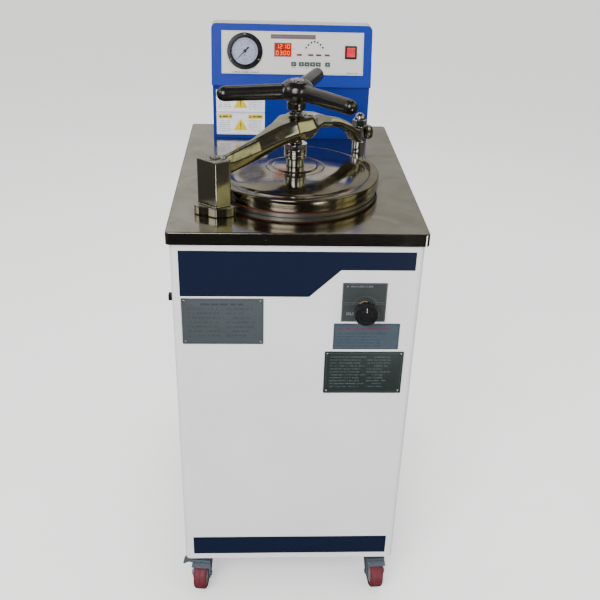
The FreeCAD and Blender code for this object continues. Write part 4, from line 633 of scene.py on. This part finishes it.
def latch():
    """Turned post with a base ring, a necked stud and an acorn nut."""
    a, b = low("latch_post").z, high("latch_post").z
    top = high("worktop").z
    post = [(0, a), (8 * MM, a), (8 * MM, top), (18.5 * MM, top), (18.5 * MM, top + 4 * MM), (16.5 * MM, top + 6 * MM),
            (15 * MM, top + 6 * MM), (15 * MM, top + 62 * MM), (13 * MM, top + 64.6 * MM), (11 * MM, top + 64.6 * MM),
            (11 * MM, b - 29.2 * MM), (0, b - 29.2 * MM)]
    bm = lathe(fillet(post, 1.0 * MM), LATCH, 96)
    washer = [(11 * MM, b - 29.6 * MM), (17 * MM, b - 29.6 * MM), (17 * MM, b - 27.2 * MM), (11 * MM, b - 27.2 * MM)]
    join(bm, lathe(fillet(washer, 0.5 * MM, 3, True), LATCH, 64, closed=True))
    hexagon = [(0, b - 27.2 * MM), (15.2 * MM, b - 27.2 * MM), (16.4 * MM, b - 26 * MM), (16.4 * MM, b - 16.5 * MM),
               (14.5 * MM, b - 14.5 * MM), (0, b - 14.4 * MM)]
    join(bm, lathe(hexagon, LATCH, 48, radius_at=hex_radius))
    dome = [(12.8 * MM * math.cos(t), b - 15.5 * MM + 15.5 * MM * math.sin(t)) for t in [math.pi / 2 * i / 12 for i in range(13)]]
    join(bm, lathe([(0, b - 15.5 * MM)] + dome, LATCH, 64))
    piece("latch_post_turned", bm, CHROME, "cabinet", ["latch_post"], 32)


def hex_radius(angle, r, z):
    sector = math.pi / 3
    off = (angle % sector) - sector / 2
    flat = 0.866 * r / math.cos(off)
    return min(r, flat) if r > 13 * MM else r


# ---------------------------------------------------------------- knob, gauge, switch panel
def knob():
    """Fluted hand knob with a raised boss and a pointer rib."""
    box_low, box_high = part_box("exhaust_knob")
    place = facing(Vector(((box_low.x + box_high.x) / 2, box_low.y, (box_low.z + box_high.z) / 2)), Vector((0, -1, 0)))
    r, depth = (box_high.x - box_low.x) / 2, 20 * MM
    profile = [(0, -0.6 * MM), (11 * MM, -0.6 * MM), (12.5 * MM, -1.8 * MM), (r - 3 * MM, -1.2 * MM), (r, -4 * MM), (r, -depth + 3 * MM),
               (r - 2.5 * MM, -depth), (4 * MM, -depth), (4 * MM, -52 * MM), (0, -52 * MM)]

    def fluted(angle, radius, z):
        if radius < r - 2 * MM:
            return radius
        return radius - 1.7 * MM * max(0, math.cos(12 * angle)) ** 2

    bm = lathe(fillet(profile, 1.5 * MM, 5), place, 192, radius_at=fluted)
    slab([rect(-0.9 * MM, 6 * MM, 0.9 * MM, 19 * MM, 0.8 * MM)], -1.6 * MM, -0.05 * MM, place, bm)
    piece("exhaust_knob_fluted", bm, BLACK, "valve_knob", ["exhaust_knob"], 40)
    bm = slab([rect(-0.35 * MM, 8 * MM, 0.35 * MM, 18 * MM)], -0.1 * MM, 0.0, place)
    piece("exhaust_knob_line", bm, PALEINK, "valve_knob")


def gauge():
    x0, y0, x1, y1, z1 = face_box("gauge_case")
    place = FACE @ Matrix.Translation(((x0 + x1) / 2, (y0 + y1) / 2, 0))
    z0 = z1 - 6.5 * MM
    case = [(0, -36 * MM), (35 * MM, -36 * MM), (35 * MM, z0), (42 * MM, z0), (42 * MM, z0 + 3 * MM), (34.2 * MM, z0 + 3 * MM),
            (33.4 * MM, z1), (31.6 * MM, z1), (31.1 * MM, z1 - 0.6 * MM), (31.1 * MM, z1 - 5.9 * MM), (0, z1 - 5.9 * MM)]
    bm = lathe(fillet(case, 0.8 * MM), place, 128)
    piece("gauge_case_turned", bm, GLOSSBLACK, "cabinet", ["gauge_case"], 40)
    dial_z = face_box("gauge_dial")[4] + 0.02 * MM
    marks = []
    for k in range(51):
        angle = math.radians(225 - 270 * k / 50)
        major = k % 10 == 0
        inner, outer = (21 if major else 23.2 if k % 5 == 0 else 24.2) * MM, 26.5 * MM
        half = (0.34 if major else 0.16) * MM
        ca, sa = math.cos(angle), math.sin(angle)
        marks.append([(r * ca - s * half * sa, r * sa + s * half * ca) for r, s in ((inner, -1), (outer, -1), (outer, 1), (inner, 1))])
    bm = slab(marks, dial_z, dial_z + 0.05 * MM, place)
    ring = lathe([(26.5 * MM, dial_z), (26.9 * MM, dial_z), (26.9 * MM, dial_z + 0.05 * MM), (26.5 * MM, dial_z + 0.05 * MM)],
                 place, 96, closed=True)
    join(bm, ring)
    piece("gauge_marks", bm, INK, "cabinet")
    figures = []
    for k, text in enumerate(("0", "0.1", "0.2", "0.3", "0.4", "0.5")):
        angle = math.radians(225 - 54 * k)
        figures.append((text, 17.0 * MM * math.cos(angle), 17.0 * MM * math.sin(angle)))
    lettering("gauge_figures", figures, place, dial_z, 4.2 * MM, INK, "cabinet")
    bm = slab([ring_outline(0, -9 * MM, 1.6 * MM)], dial_z, dial_z + 0.05 * MM, place)
    slab([rect(-7 * MM, -19 * MM, 7 * MM, -18.2 * MM), rect(-5 * MM, -21.6 * MM, 5 * MM, -21 * MM)], dial_z, dial_z + 0.05 * MM, place, bm)
    piece("gauge_small_print", bm, GREYINK, "cabinet")


def lettering(name, items, matrix, z, size, material, body):
    """Generic figures, each item (text, x, y) centred in the local plane."""
    bm = bmesh.new()
    for text, x, y in items:
        curve = bpy.data.curves.new("figure", "FONT")
        curve.body, curve.size, curve.extrude = text, size, 0.03 * MM
        curve.align_x, curve.align_y = "CENTER", "CENTER"
        curve.resolution_u = 3
        holder = bpy.data.objects.new("figure", curve)
        mesh = bpy.data.meshes.new_from_object(holder)
        mesh.transform(matrix @ Matrix.Translation((x, y, z + 0.03 * MM)))
        bm.from_mesh(mesh)
        bpy.data.objects.remove(holder)
        bpy.data.curves.remove(curve)
        bpy.data.meshes.remove(mesh)
    piece(name, bm, material, body)


SEGMENTS = {"0": "abcdef", "1": "bc", "2": "abged", "3": "abgcd", "4": "fgbc", "5": "afgcd", "6": "afgecd", "8": "abcdefg"}


def digit_shapes(figure, x, y, w, h, t):
    """Seven-segment bars with the lower left corner at (x, y)."""
    spots = {
        "a": (x + t, y + h - t, x + w - t, y + h), "d": (x + t, y, x + w - t, y + t),
        "g": (x + t, y + h / 2 - t / 2, x + w - t, y + h / 2 + t / 2),
        "f": (x, y + h / 2 + t / 4, x + t, y + h - t / 2), "b": (x + w - t, y + h / 2 + t / 4, x + w, y + h - t / 2),
        "e": (x, y + t / 2, x + t, y + h / 2 - t / 4), "c": (x + w - t, y + t / 2, x + w, y + h / 2 - t / 4),
    }
    on = [rect(*spots[s]) for s in SEGMENTS[figure]]
    off = [rect(*spots[s]) for s in "abcdefg" if s not in SEGMENTS[figure]]
    return on, off


def display():
    x0, y0, x1, y1, z = face_box("display_window")
    w, h, t = 6.2 * MM, 10.0 * MM, 1.3 * MM
    lit, unlit = [], []
    for row, text in ((0, "1210"), (1, "0300")):
        y = y1 - 2.6 * MM - h - row * (h + 4.6 * MM)
        for k, figure in enumerate(text):
            on, off = digit_shapes(figure, x0 + 3.6 * MM + k * 8.8 * MM, y, w, h, t)
            lit += on
            unlit += off
    piece("display_lit", slab(lit, z, z + 0.08 * MM, FACE), DIGIT, "cabinet")
    piece("display_unlit", slab(unlit, z, z + 0.05 * MM, FACE), DIM, "cabinet")
    band = [rect(x0 + 0.6 * MM, (y0 + y1) / 2 - 0.9 * MM, x1 - 0.6 * MM, (y0 + y1) / 2 + 0.7 * MM)]
    piece("display_divider", slab(band, z, z + 0.1 * MM, FACE), DIM, "cabinet")
    x_mid, y_mid = (x0 + x1) / 2, (y0 + y1) / 2
    half_w, half_h = (x1 - x0) / 2, (y1 - y0) / 2
    edge = 1.0 * MM
    frame_bars = [rect(x_mid - half_w - edge, y_mid + half_h, x_mid + half_w + edge, y_mid + half_h + edge),
                  rect(x_mid - half_w - edge, y_mid - half_h - edge, x_mid + half_w + edge, y_mid - half_h),
                  rect(x_mid - half_w - edge, y_mid - half_h, x_mid - half_w, y_mid + half_h),
                  rect(x_mid + half_w, y_mid - half_h, x_mid + half_w + edge, y_mid + half_h)]
    z_panel = face_box("control_panel")[4]
    piece("display_surround", slab(frame_bars, z_panel, z_panel + 0.1 * MM, FACE), GREYINK, "cabinet")


def islands(bm):
    """Groups of faces that hang together."""
    left, groups = set(bm.faces), []
    while left:
        stack, group = [left.pop()], []
        while stack:
            face = stack.pop()
            group.append(face)
            for edge in face.edges:
                for other in edge.link_faces:
                    if other in left:
                        left.discard(other)
                        stack.append(other)
        groups.append(group)
    return groups


def lamps():
    """Round lenses and flat bars of the status lights, told apart by their width."""
    for name, material, wide in (("lamp_lenses", LAMP, False), ("lamp_bars", LAMPBAR, True)):
        bm = cad_copy("status_lights")
        for group in islands(bm):
            across = [v.co.x for face in group for v in face.verts]
            if (max(across) - min(across) > 6 * MM) != wide:
                bmesh.ops.delete(bm, geom=group, context="FACES")
        piece(name, bm, material, "cabinet", ["status_lights"], 40)


def words(x0, x1, y, height, fill=0.8, gap=1.4):
    """A row of short blocks standing for a line of small print."""
    shapes, x = [], x0
    while x < x0 + (x1 - x0) * fill:
        length = height * random.uniform(1.2, 4.6)
        end = min(x + length, x1)
        shapes.append(rect(x, y, end, y + height))
        x = end + height * gap * random.uniform(0.4, 0.9)
    return shapes


def glyphs(x0, x1, y, height, fill=0.9):
    """A row of small strokes standing for one line of close print."""
    shapes, x = [], x0
    stroke = height * 0.26
    while x < x0 + (x1 - x0) * fill:
        if random.random() < 0.16:
            x += height * 0.7
            continue
        w = height * random.uniform(0.45, 0.7)
        shapes.append(rect(x, y, x + stroke, y + height))
        if random.random() < 0.7:
            shapes.append(rect(x + w - stroke, y, x + w, y + height * random.choice((0.5, 1.0))))
        level = y + height * random.choice((0.0, 0.42, 0.84))
        shapes.append(rect(x + stroke, level, x + w - stroke, level + stroke))
        x += w + height * 0.22
    return shapes


def panel_print():
    z = face_box("control_panel")[4]
    top = z + 0.06 * MM
    gx0, gy0, gx1, gy1, _ = face_box("gauge_case")
    kx0, ky0, kx1, ky1, _ = face_box("key_1")
    fx0, fy0, fx1, fy1, _ = face_box("rocker_frame")
    dx0, dy0, dx1, dy1, _ = face_box("display_window")
    px0, py0, px1, py1, _ = face_box("control_panel")
    bar = [rect(dx0 - 9 * MM, py1 - 16.8 * MM, dx1 + 58 * MM, py1 - 6.6 * MM)]
    piece("panel_title_bar", slab(bar, z, top, FACE), TITLE, "cabinet")
    piece("panel_title_print", slab(words(dx0 - 5 * MM, dx1 + 54 * MM, py1 - 12.4 * MM, 2.2 * MM, 0.95), top, top + 0.05 * MM, FACE),
          GREYINK, "cabinet")
    small = glyphs(gx0 + 12 * MM, gx1 - 2 * MM, gy0 - 7.4 * MM, 3.2 * MM)
    small += glyphs(fx0 + 5 * MM, fx1 + 4 * MM, py0 + 3.6 * MM, 3.0 * MM)
    small += glyphs(dx1 + 2 * MM, dx1 + 10 * MM, (dy0 + dy1) / 2 + 1.2 * MM, 2.2 * MM)
    for k in range(1, 7):
        ax0, ay0, ax1, ay1, _ = face_box("key_%d" % k)
        small += glyphs(ax0 + 2 * MM, ax1 - 1 * MM, ay0 - 4.0 * MM, 1.8 * MM)
    piece("panel_small_print", slab(small, z, z + 0.05 * MM, FACE), INK, "cabinet")
    line = 0.35 * MM
    inset = 2.2 * MM
    border = [rect(px0 + inset, py0 + inset, px1 - inset, py0 + inset + line), rect(px0 + inset, py1 - inset - line, px1 - inset, py1 - inset),
              rect(px0 + inset, py0 + inset, px0 + inset + line, py1 - inset), rect(px1 - inset - line, py0 + inset, px1 - inset, py1 - inset)]
    piece("panel_border", slab(border, z, z + 0.04 * MM, FACE), GREYINK, "cabinet")


def keys():
    """Soft caps with a dished top and a small generic mark on each."""
    marks = ("dot", "left", "up", "down", "right", "bar")
    for k in range(1, 7):
        x0, y0, x1, y1, z = face_box("key_%d" % k)
        bm = bmesh.new()
        rows = []
        for inset, height in ((0, -4.0), (0, -1.0), (0.25, -0.45), (0.8, -0.05), (1.4, 0.0), (2.4, -0.25), (4.2, -0.32)):
            d = inset * MM
            outline = rect(x0 + d, y0 + d, x1 - d, y1 - d, max(0.3 * MM, 1.5 * MM - d * 0.3))
            rows.append([FACE @ Vector((x, y, z + height * MM)) for x, y in outline])
        bm = grid(rows)
        bm.verts.ensure_lookup_table()
        count = len(rows[0])
        bm.faces.new([bm.verts[len(rows) * count - count + j] for j in range(count)])
        bm.faces.new([bm.verts[j] for j in reversed(range(count))])
        piece("key_cap_%d" % k, bm, KEYS, "button_%d" % k, ["key_%d" % k], 35)
        cx, cy, s = (x0 + x1) / 2, (y0 + y1) / 2, 1.5 * MM
        shapes = {"dot": ring_outline(cx, cy, s * 0.7), "bar": rect(cx - s, cy - s * 0.3, cx + s, cy + s * 0.3),
                  "left": [(cx + s * 0.6, cy - s), (cx + s * 0.6, cy + s), (cx - s, cy)],
                  "right": [(cx - s * 0.6, cy - s), (cx + s, cy), (cx - s * 0.6, cy + s)],
                  "up": [(cx - s, cy - s * 0.6), (cx + s, cy - s * 0.6), (cx, cy + s)],
                  "down": [(cx - s, cy + s * 0.6), (cx, cy - s), (cx + s, cy + s * 0.6)]}
        bm = slab([shapes[marks[k - 1]]], z - 0.3 * MM, z - 0.2 * MM, FACE)
        piece("key_mark_%d" % k, bm, PALEINK, "button_%d" % k)


def plate_rects():
    lo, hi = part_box("data_plates")
    cx = FRONT.translation.x
    name_plate = (lo.x - cx, hi.z - 104.3 * MM, lo.x - cx + 161.7 * MM, hi.z)
    data_plate = (hi.x - cx - 162.7 * MM, lo.z, hi.x - cx, lo.z + 102.2 * MM)
    return name_plate, data_plate


def data_plates():
    """Two etched metal plates: frame line, ruled table and rows of close print."""
    thick = 1.0 * MM
    for (x0, y0, x1, y1), name, metal_mat, ink_mat, rows in (
            (plate_rects()[0], "nameplate", ETCHED, SLATEINK, 8), (plate_rects()[1], "data_plate", DARKPLATE, FADEDINK, 11)):
        bm = slab([rect(x0, y0, x1, y1, 2.5 * MM)], 0, thick, FRONT)
        obj = piece(name + "_sheet", bm, metal_mat, "cabinet", ["data_plates"], 40)
        bevel = obj.modifiers.new("edge", "BEVEL")
        bevel.width, bevel.segments = 0.25 * MM, 2
        bake(obj, 40)
        z = thick
        edge = 4.0 * MM
        line = 0.4 * MM
        shapes = [rect(x0 + edge, y0 + edge, x1 - edge, y0 + edge + line), rect(x0 + edge, y1 - edge - line, x1 - edge, y1 - edge),
                  rect(x0 + edge, y0 + edge, x0 + edge + line, y1 - edge), rect(x1 - edge - line, y0 + edge, x1 - edge, y1 - edge)]
        pitch = (y1 - y0 - 22 * MM) / rows
        for k in range(rows):
            y = y1 - 14 * MM - k * pitch
            if name == "nameplate" and k == 0:
                shapes += words(x0 + 38 * MM, x1 - 30 * MM, y - 1 * MM, 4.2 * MM, 0.9)
                continue
            split = x0 + (x1 - x0) * (0.52 if k % 3 else 0.6)
            shapes += glyphs(x0 + 12 * MM, split, y, pitch * 0.36, 0.85)
            shapes += glyphs(split + 4 * MM, x1 - 12 * MM, y, pitch * 0.36, random.uniform(0.4, 0.9))
            if name == "nameplate":
                shapes.append(rect(x0 + 10 * MM, y - pitch * 0.22, x1 - 10 * MM, y - pitch * 0.22 + 0.25 * MM))
        piece(name + "_print", slab(shapes, z, z + 0.05 * MM, FRONT), ink_mat, "cabinet")


def scale_print():
    """Figures and an arc around the release valve."""
    lo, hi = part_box("valve_scale_plates")
    cx = FRONT.translation.x
    kx = mid("exhaust_knob").x - cx
    kz = mid("exhaust_knob").z
    z = FRONT.translation.y - lo.y
    shapes = []
    for k in range(15):
        angle = math.radians(160 - 140 * k / 14)
        ca, sa = math.cos(angle), math.sin(angle)
        half = 0.35 * MM
        a, b = 24 * MM, 28 * MM
        shapes.append([(kx + r * ca - s * half * sa, kz + r * sa + s * half * ca) for r, s in ((a, -1), (b, -1), (b, 1), (a, 1))])
    shapes += glyphs(lo.x - cx + 8 * MM, hi.x - cx - 24 * MM, hi.z - 9 * MM, 3.6 * MM)
    shapes += glyphs(lo.x - cx + 10 * MM, lo.x - cx + 28 * MM, lo.z + 15 * MM, 7 * MM)
    line = 0.4 * MM
    for y0, y1 in ((hi.z - 43 * MM, hi.z - 1.5 * MM), (lo.z + 1.5 * MM, lo.z + 41 * MM)):
        x0, x1 = lo.x - cx + 1.5 * MM, hi.x - cx - 1.5 * MM
        shapes += [rect(x0, y0, x1, y0 + line), rect(x0, y1 - line, x1, y1), rect(x0, y0, x0 + line, y1), rect(x1 - line, y0, x1, y1)]
    piece("scale_plate_print", slab(shapes, z, z + 0.05 * MM, FRONT), GREYINK, "cabinet")


def triangle(cx, cy, s):
    return fillet([(cx - s, cy - s * 0.8), (cx + s, cy - s * 0.8), (cx, cy + s * 0.9)], s * 0.14, 3, True)


def stickers():
    lo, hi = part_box("notice_labels")
    cx = NECK.translation.x
    thick = 0.4 * MM
    w, h = 117.3 * MM, 54.5 * MM
    x0 = lo.x - cx
    sheets, yellow, grey, dark, blue = [], [], [], [], []
    for y0 in (hi.z - h, hi.z - 2 * h - 1.0 * MM):
        sheets.append(rect(x0, y0, x0 + w, y0 + h, 1.5 * MM))
        y1 = y0 + h
        yellow += [rect(x0 + 4 * MM, y1 - 15 * MM, x0 + 38 * MM, y1 - 4 * MM), rect(x0 + 77 * MM, y1 - 15 * MM, x0 + w - 4 * MM, y1 - 4 * MM),
                   triangle(x0 + w / 2, y1 - 30 * MM, 17 * MM)]
        dark += [triangle(x0 + 9 * MM, y1 - 10 * MM, 3.2 * MM), triangle(x0 + 82 * MM, y1 - 10 * MM, 3.2 * MM)]
        dark += words(x0 + 15 * MM, x0 + 36 * MM, y1 - 11.4 * MM, 3.4 * MM, 0.9) + words(x0 + 88 * MM, x0 + w - 6 * MM, y1 - 11.4 * MM, 3.4 * MM, 0.9)
        for k in range(6):
            y = y1 - 21 * MM - k * 5.2 * MM
            grey += glyphs(x0 + 5 * MM, x0 + 37 * MM, y, 2.0 * MM) + glyphs(x0 + 78 * MM, x0 + w - 5 * MM, y, 2.0 * MM)
        dark += [rect(x0 + w / 2 - 1.0 * MM, y1 - 36 * MM, x0 + w / 2 + 1.0 * MM, y1 - 24 * MM), ring_outline(x0 + w / 2, y1 - 39.2 * MM, 1.2 * MM)]
        line = 0.4 * MM
        blue += [rect(x0 + 1.6 * MM, y0 + 1.6 * MM, x0 + w - 1.6 * MM, y0 + 1.6 * MM + line), rect(x0 + 1.6 * MM, y1 - 1.6 * MM - line, x0 + w - 1.6 * MM, y1 - 1.6 * MM)]
    piece("sticker_sheets", slab(sheets, 0, thick, NECK), LABEL, "cabinet", ["notice_labels"], 40)
    for name, shapes, ink_mat in (("yellow", yellow, YELLOW), ("grey", grey, GREYINK), ("dark", dark, INK), ("lines", blue, GREYINK)):
        lift = thick + (0.09 if name == "dark" else 0.04) * MM
        piece("sticker_" + name, slab(shapes, thick, lift, NECK), ink_mat, "cabinet")
    fx = FRONT.translation.x
    x1, y0 = hi.x - fx, lo.z
    x0, y1 = x1 - 133.7 * MM, y0 + 61 * MM
    piece("caution_sheet", slab([rect(x0, y0, x1, y1, 1.5 * MM)], 0, thick, FRONT), WARN, "cabinet", (), 40)
    line = 0.7 * MM
    inset = 2.5 * MM
    frame_line = [rect(x0 + inset, y0 + inset, x1 - inset, y0 + inset + line), rect(x0 + inset, y1 - inset - line, x1 - inset, y1 - inset),
                  rect(x0 + inset, y0 + inset, x0 + inset + line, y1 - inset), rect(x1 - inset - line, y0 + inset, x1 - inset, y1 - inset)]
    body_print = list(frame_line)
    for k in range(5):
        body_print += glyphs(x0 + 9 * MM, x1 - 9 * MM, y1 - 25 * MM - k * 7.2 * MM, 2.8 * MM, random.uniform(0.6, 0.95))
    piece("caution_print", slab(body_print, thick, thick + 0.05 * MM, FRONT), INK, "cabinet")
    head = [triangle(x0 + 14 * MM, y1 - 11.5 * MM, 5 * MM)] + words(x0 + 24 * MM, x1 - 12 * MM, y1 - 14 * MM, 4.2 * MM, 0.85)
    piece("caution_heading", slab(head, thick, thick + 0.05 * MM, FRONT), REDINK, "cabinet")


# ---------------------------------------------------------------- castor wheels
def wheels():
    for corner in ("front_left", "front_right", "rear_left", "rear_right"):
        spin = joint("wheel_" + corner)
        centre = Vector(spin["pos_m"])
        axle = Vector(spin["axis"])
        turn = axle.to_track_quat("Z", "Y").to_matrix().to_4x4()
        place = Matrix.Translation(centre) @ turn
        r, half = 37.5 * MM, 15 * MM
        tread = [(27 * MM, -half + 1.5 * MM), (29 * MM, -half), (r - 3.5 * MM, -half), (r, -half + 4 * MM), (r, -0.8 * MM),
                 (r - 0.7 * MM, -0.4 * MM), (r - 0.7 * MM, 0.4 * MM), (r, 0.8 * MM), (r, half - 4 * MM), (r - 3.5 * MM, half),
                 (29 * MM, half), (27 * MM, half - 1.5 * MM)]
        bm = lathe(fillet(tread, 1.2 * MM, 3, True), place, 96, closed=True)
        piece("tyre_" + corner, bm, TYRE, "roller_" + corner, ["wheel_" + corner], 35)
        hub = [(6.05 * MM, -half - 1 * MM), (13 * MM, -half - 1 * MM), (13 * MM, -half + 4 * MM), (25 * MM, -half + 4 * MM), (27.4 * MM, -half + 1.5 * MM),
               (27.4 * MM, half - 1.5 * MM), (25 * MM, half - 4 * MM), (13 * MM, half - 4 * MM), (13 * MM, half + 1 * MM), (6.05 * MM, half + 1 * MM)]
        bm = lathe(fillet(hub, 0.9 * MM, 3, True), place, 72, closed=True)
        for k in range(6):
            spoke = place @ Matrix.Rotation(math.pi / 3 * k, 4, "Z")
            slab([rect(12 * MM, -1.6 * MM, 26.5 * MM, 1.6 * MM, 0.8 * MM)], -half + 1.6 * MM, half - 1.6 * MM, spoke, bm)
        piece("hub_" + corner, bm, HUBMAT, "roller_" + corner, (), 35)


for make in (lid, collar, clamp_screw, handwheel, closure_arm, bracket, latch, knob, gauge, display, lamps, panel_print, keys,
             data_plates, scale_print, stickers, wheels):
    make()


# ---------------------------------------------------------------- carried-over CAD nodes
for node_name, node_material in KEPT.items():
    dress(NODES[node_name], node_material)


# ---------------------------------------------------------------- studio
def floor():
    """Wide pale floor; reflections see it dim, as in a dark room."""
    bpy.ops.mesh.primitive_plane_add(size=60, location=(0, 0, 0))
    plane = bpy.context.object
    plane.name = "studio_floor"
    g = Graph("studio_floor")
    mottled = g.noise(3.0, 4.0)
    base = g.mix(g.ramp(mottled, 0.3, 0.7), rgb(240, 239, 237), rgb(236, 235, 233))
    bsdf = g.add("ShaderNodeBsdfPrincipled", Base_Color=base, Roughness=0.75)
    split = g.add("ShaderNodeSeparateXYZ")
    g.put(split, "Vector", g.coord)
    aside = g.ramp(g.math("ABSOLUTE", split.outputs["X"]), 1.0, 3.0, 0.025, 0.08)
    dim = g.add("ShaderNodeEmission", Color=(1.0, 0.95, 0.88, 1), Strength=aside)
    path = g.add("ShaderNodeLightPath")
    lift = g.add("ShaderNodeEmission", Color=(1, 1, 1, 1), Strength=g.math("MULTIPLY", path.outputs["Is Camera Ray"], 0.55))
    seen = g.add("ShaderNodeAddShader")
    g.tree.links.new(bsdf.outputs[0], seen.inputs[0])
    g.tree.links.new(lift.outputs[0], seen.inputs[1])
    blend = g.add("ShaderNodeMixShader")
    g.tree.links.new(path.outputs["Is Glossy Ray"], blend.inputs[0])
    g.tree.links.new(seen.outputs[0], blend.inputs[1])
    g.tree.links.new(dim.outputs[0], blend.inputs[2])
    g.tree.links.new(blend.outputs[0], g.out.inputs[0])
    dress(plane, g.mat)


def area(name, place, target, size, power, mirrored=False):
    data = bpy.data.lights.new(name, "AREA")
    data.shape = "RECTANGLE"
    data.size, data.size_y = size
    data.energy = power
    lamp = bpy.data.objects.new(name, data)
    lamp.location = place
    lamp.visible_glossy = mirrored
    lamp.visible_camera = False
    lamp.rotation_euler = (Vector(target) - Vector(place)).to_track_quat("-Z", "Y").to_euler()
    bpy.context.scene.collection.objects.link(lamp)


class Sky:
    """World seen only by reflections: a dim room with a few bright windows."""

    def __init__(self):
        world = bpy.data.worlds.new("studio")
        bpy.context.scene.world = world
        world.use_nodes = True
        self.tree = world.node_tree
        self.tree.nodes.clear()
        self.out = self.tree.nodes.new("ShaderNodeOutputWorld")
        coord = self.tree.nodes.new("ShaderNodeTexCoord")
        split = self.tree.nodes.new("ShaderNodeSeparateXYZ")
        self.tree.links.new(coord.outputs["Generated"], split.inputs[0])
        self.azimuth = self.math("ARCTAN2", split.outputs["X"], split.outputs["Y"])
        self.height = split.outputs["Z"]

    def math(self, operation, a, b=0.0):
        node = self.tree.nodes.new("ShaderNodeMath")
        node.operation = operation
        for index, value in enumerate((a, b)):
            if isinstance(value, bpy.types.NodeSocket):
                self.tree.links.new(value, node.inputs[index])
            else:
                node.inputs[index].default_value = value
        return node.outputs["Value"]

    def fade(self, value, full, gone):
        node = self.tree.nodes.new("ShaderNodeMapRange")
        node.interpolation_type = "SMOOTHSTEP"
        self.tree.links.new(value, node.inputs["Value"])
        node.inputs["From Min"].default_value = full
        node.inputs["From Max"].default_value = gone
        node.inputs["To Min"].default_value = 1.0
        node.inputs["To Max"].default_value = 0.0
        return node.outputs["Result"]

    def window(self, bearing, half_width, rise, half_height, soft=0.06):
        """Mask of a bright patch; bearing in degrees from the back, clockwise seen from above."""
        turn = self.math("WRAP", self.math("SUBTRACT", self.azimuth, math.radians(bearing)), math.pi)
        turn.node.inputs[2].default_value = -math.pi
        across = self.fade(self.math("ABSOLUTE", turn), math.radians(half_width), math.radians(half_width) + soft)
        away = self.math("ABSOLUTE", self.math("SUBTRACT", self.height, rise))
        return self.math("MULTIPLY", across, self.fade(away, half_height, half_height + soft))

    def background(self, colour, strength):
        node = self.tree.nodes.new("ShaderNodeBackground")
        node.inputs["Color"].default_value = colour
        if isinstance(strength, bpy.types.NodeSocket):
            self.tree.links.new(strength, node.inputs["Strength"])
        else:
            node.inputs["Strength"].default_value = strength
        return node.outputs[0]

    def add(self, a, b):
        node = self.tree.nodes.new("ShaderNodeAddShader")
        self.tree.links.new(a, node.inputs[0])
        self.tree.links.new(b, node.inputs[1])
        return node.outputs[0]


# bearing, half width (degrees), rise, half height (z of the direction), strength, colour
WINDOWS = (
    (0, 55, 0.42, 0.26, 0.42, (1.0, 0.98, 0.9, 1)),
    (-40, 36, 0.5, 0.3, 0.22, (1.0, 0.99, 0.96, 1)),
    (197, 13, 0.45, 0.25, 2.6, (1.0, 1.0, 1.0, 1)),
    (102, 9, 0.45, 0.22, 1.05, (0.92, 0.92, 0.46, 1)),
    (60, 4, 0.45, 0.2, 0.9, (0.9, 0.9, 0.55, 1)),
    (119.6, 1.6, 0.45, 0.25, 1.0, (0.92, 0.92, 0.5, 1)),
    (-96, 7, 0.6, 0.2, 0.8, (1.0, 1.0, 1.0, 1)),
    (-112, 7, 0.42, 0.14, 1.8, (1.0, 1.0, 1.0, 1)),
    (142, 6, 0.48, 0.07, 1.4, (1.0, 1.0, 0.9, 1)),
    (20, 12, 0.86, 0.06, 1.2, (1.0, 1.0, 1.0, 1)),
)


def world():
    sky = Sky()
    room = sky.background((1.0, 0.94, 0.84, 1), 0.05)
    for bearing, half_width, rise, half_height, strength, colour in WINDOWS:
        mask = sky.window(bearing, half_width, rise, half_height)
        room = sky.add(room, sky.background(colour, sky.math("MULTIPLY", mask, strength)))
    pale = sky.background((1.0, 0.995, 0.985, 1), 0.88)
    path = sky.tree.nodes.new("ShaderNodeLightPath")
    blend = sky.tree.nodes.new("ShaderNodeMixShader")
    sky.tree.links.new(path.outputs["Is Glossy Ray"], blend.inputs[0])
    sky.tree.links.new(pale, blend.inputs[1])
    sky.tree.links.new(room, blend.inputs[2])
    sky.tree.links.new(blend.outputs[0], sky.out.inputs[0])


def camera():
    pitch, yaw, roll = math.radians(28.8), math.radians(3.03), math.radians(1.75)
    forward = Vector((math.sin(yaw) * math.cos(pitch), math.cos(yaw) * math.cos(pitch), -math.sin(pitch)))
    right = Vector((math.cos(yaw), -math.sin(yaw), 0))
    up = right.cross(forward)
    tilted_right = right * math.cos(roll) + up * math.sin(roll)
    tilted_up = up * math.cos(roll) - right * math.sin(roll)
    data = bpy.data.cameras.new("camera")
    data.lens = 48.9
    data.sensor_width = 36
    cam = bpy.data.objects.new("camera", data)
    turn = Matrix((tilted_right, tilted_up, -forward)).transposed()
    cam.matrix_world = Matrix.Translation((-0.0646, -1.7313, 1.5646)) @ turn.to_4x4()
    bpy.context.scene.collection.objects.link(cam)
    bpy.context.scene.camera = cam


floor()
world()
camera()
area("key_light", (-1.3, -2.6, 2.6), (0, 0, 0.7), (1.8, 1.8), 112)
area("low_window", (1.1, -1.9, 0.12), (0, -0.2, 0.9), (0.5, 0.5), 5, True)
area("fill_light", (2.4, -1.8, 1.8), (0, 0, 0.6), (1.4, 1.8), 12)
area("top_light", (0.2, 0.3, 3.2), (0, 0, 0.9), (2.2, 1.2), 40)
area("back_light", (0.6, 2.4, 2.4), (0, 0, 0.8), (2.4, 1.0), 25)

bpy.context.view_layer.update()
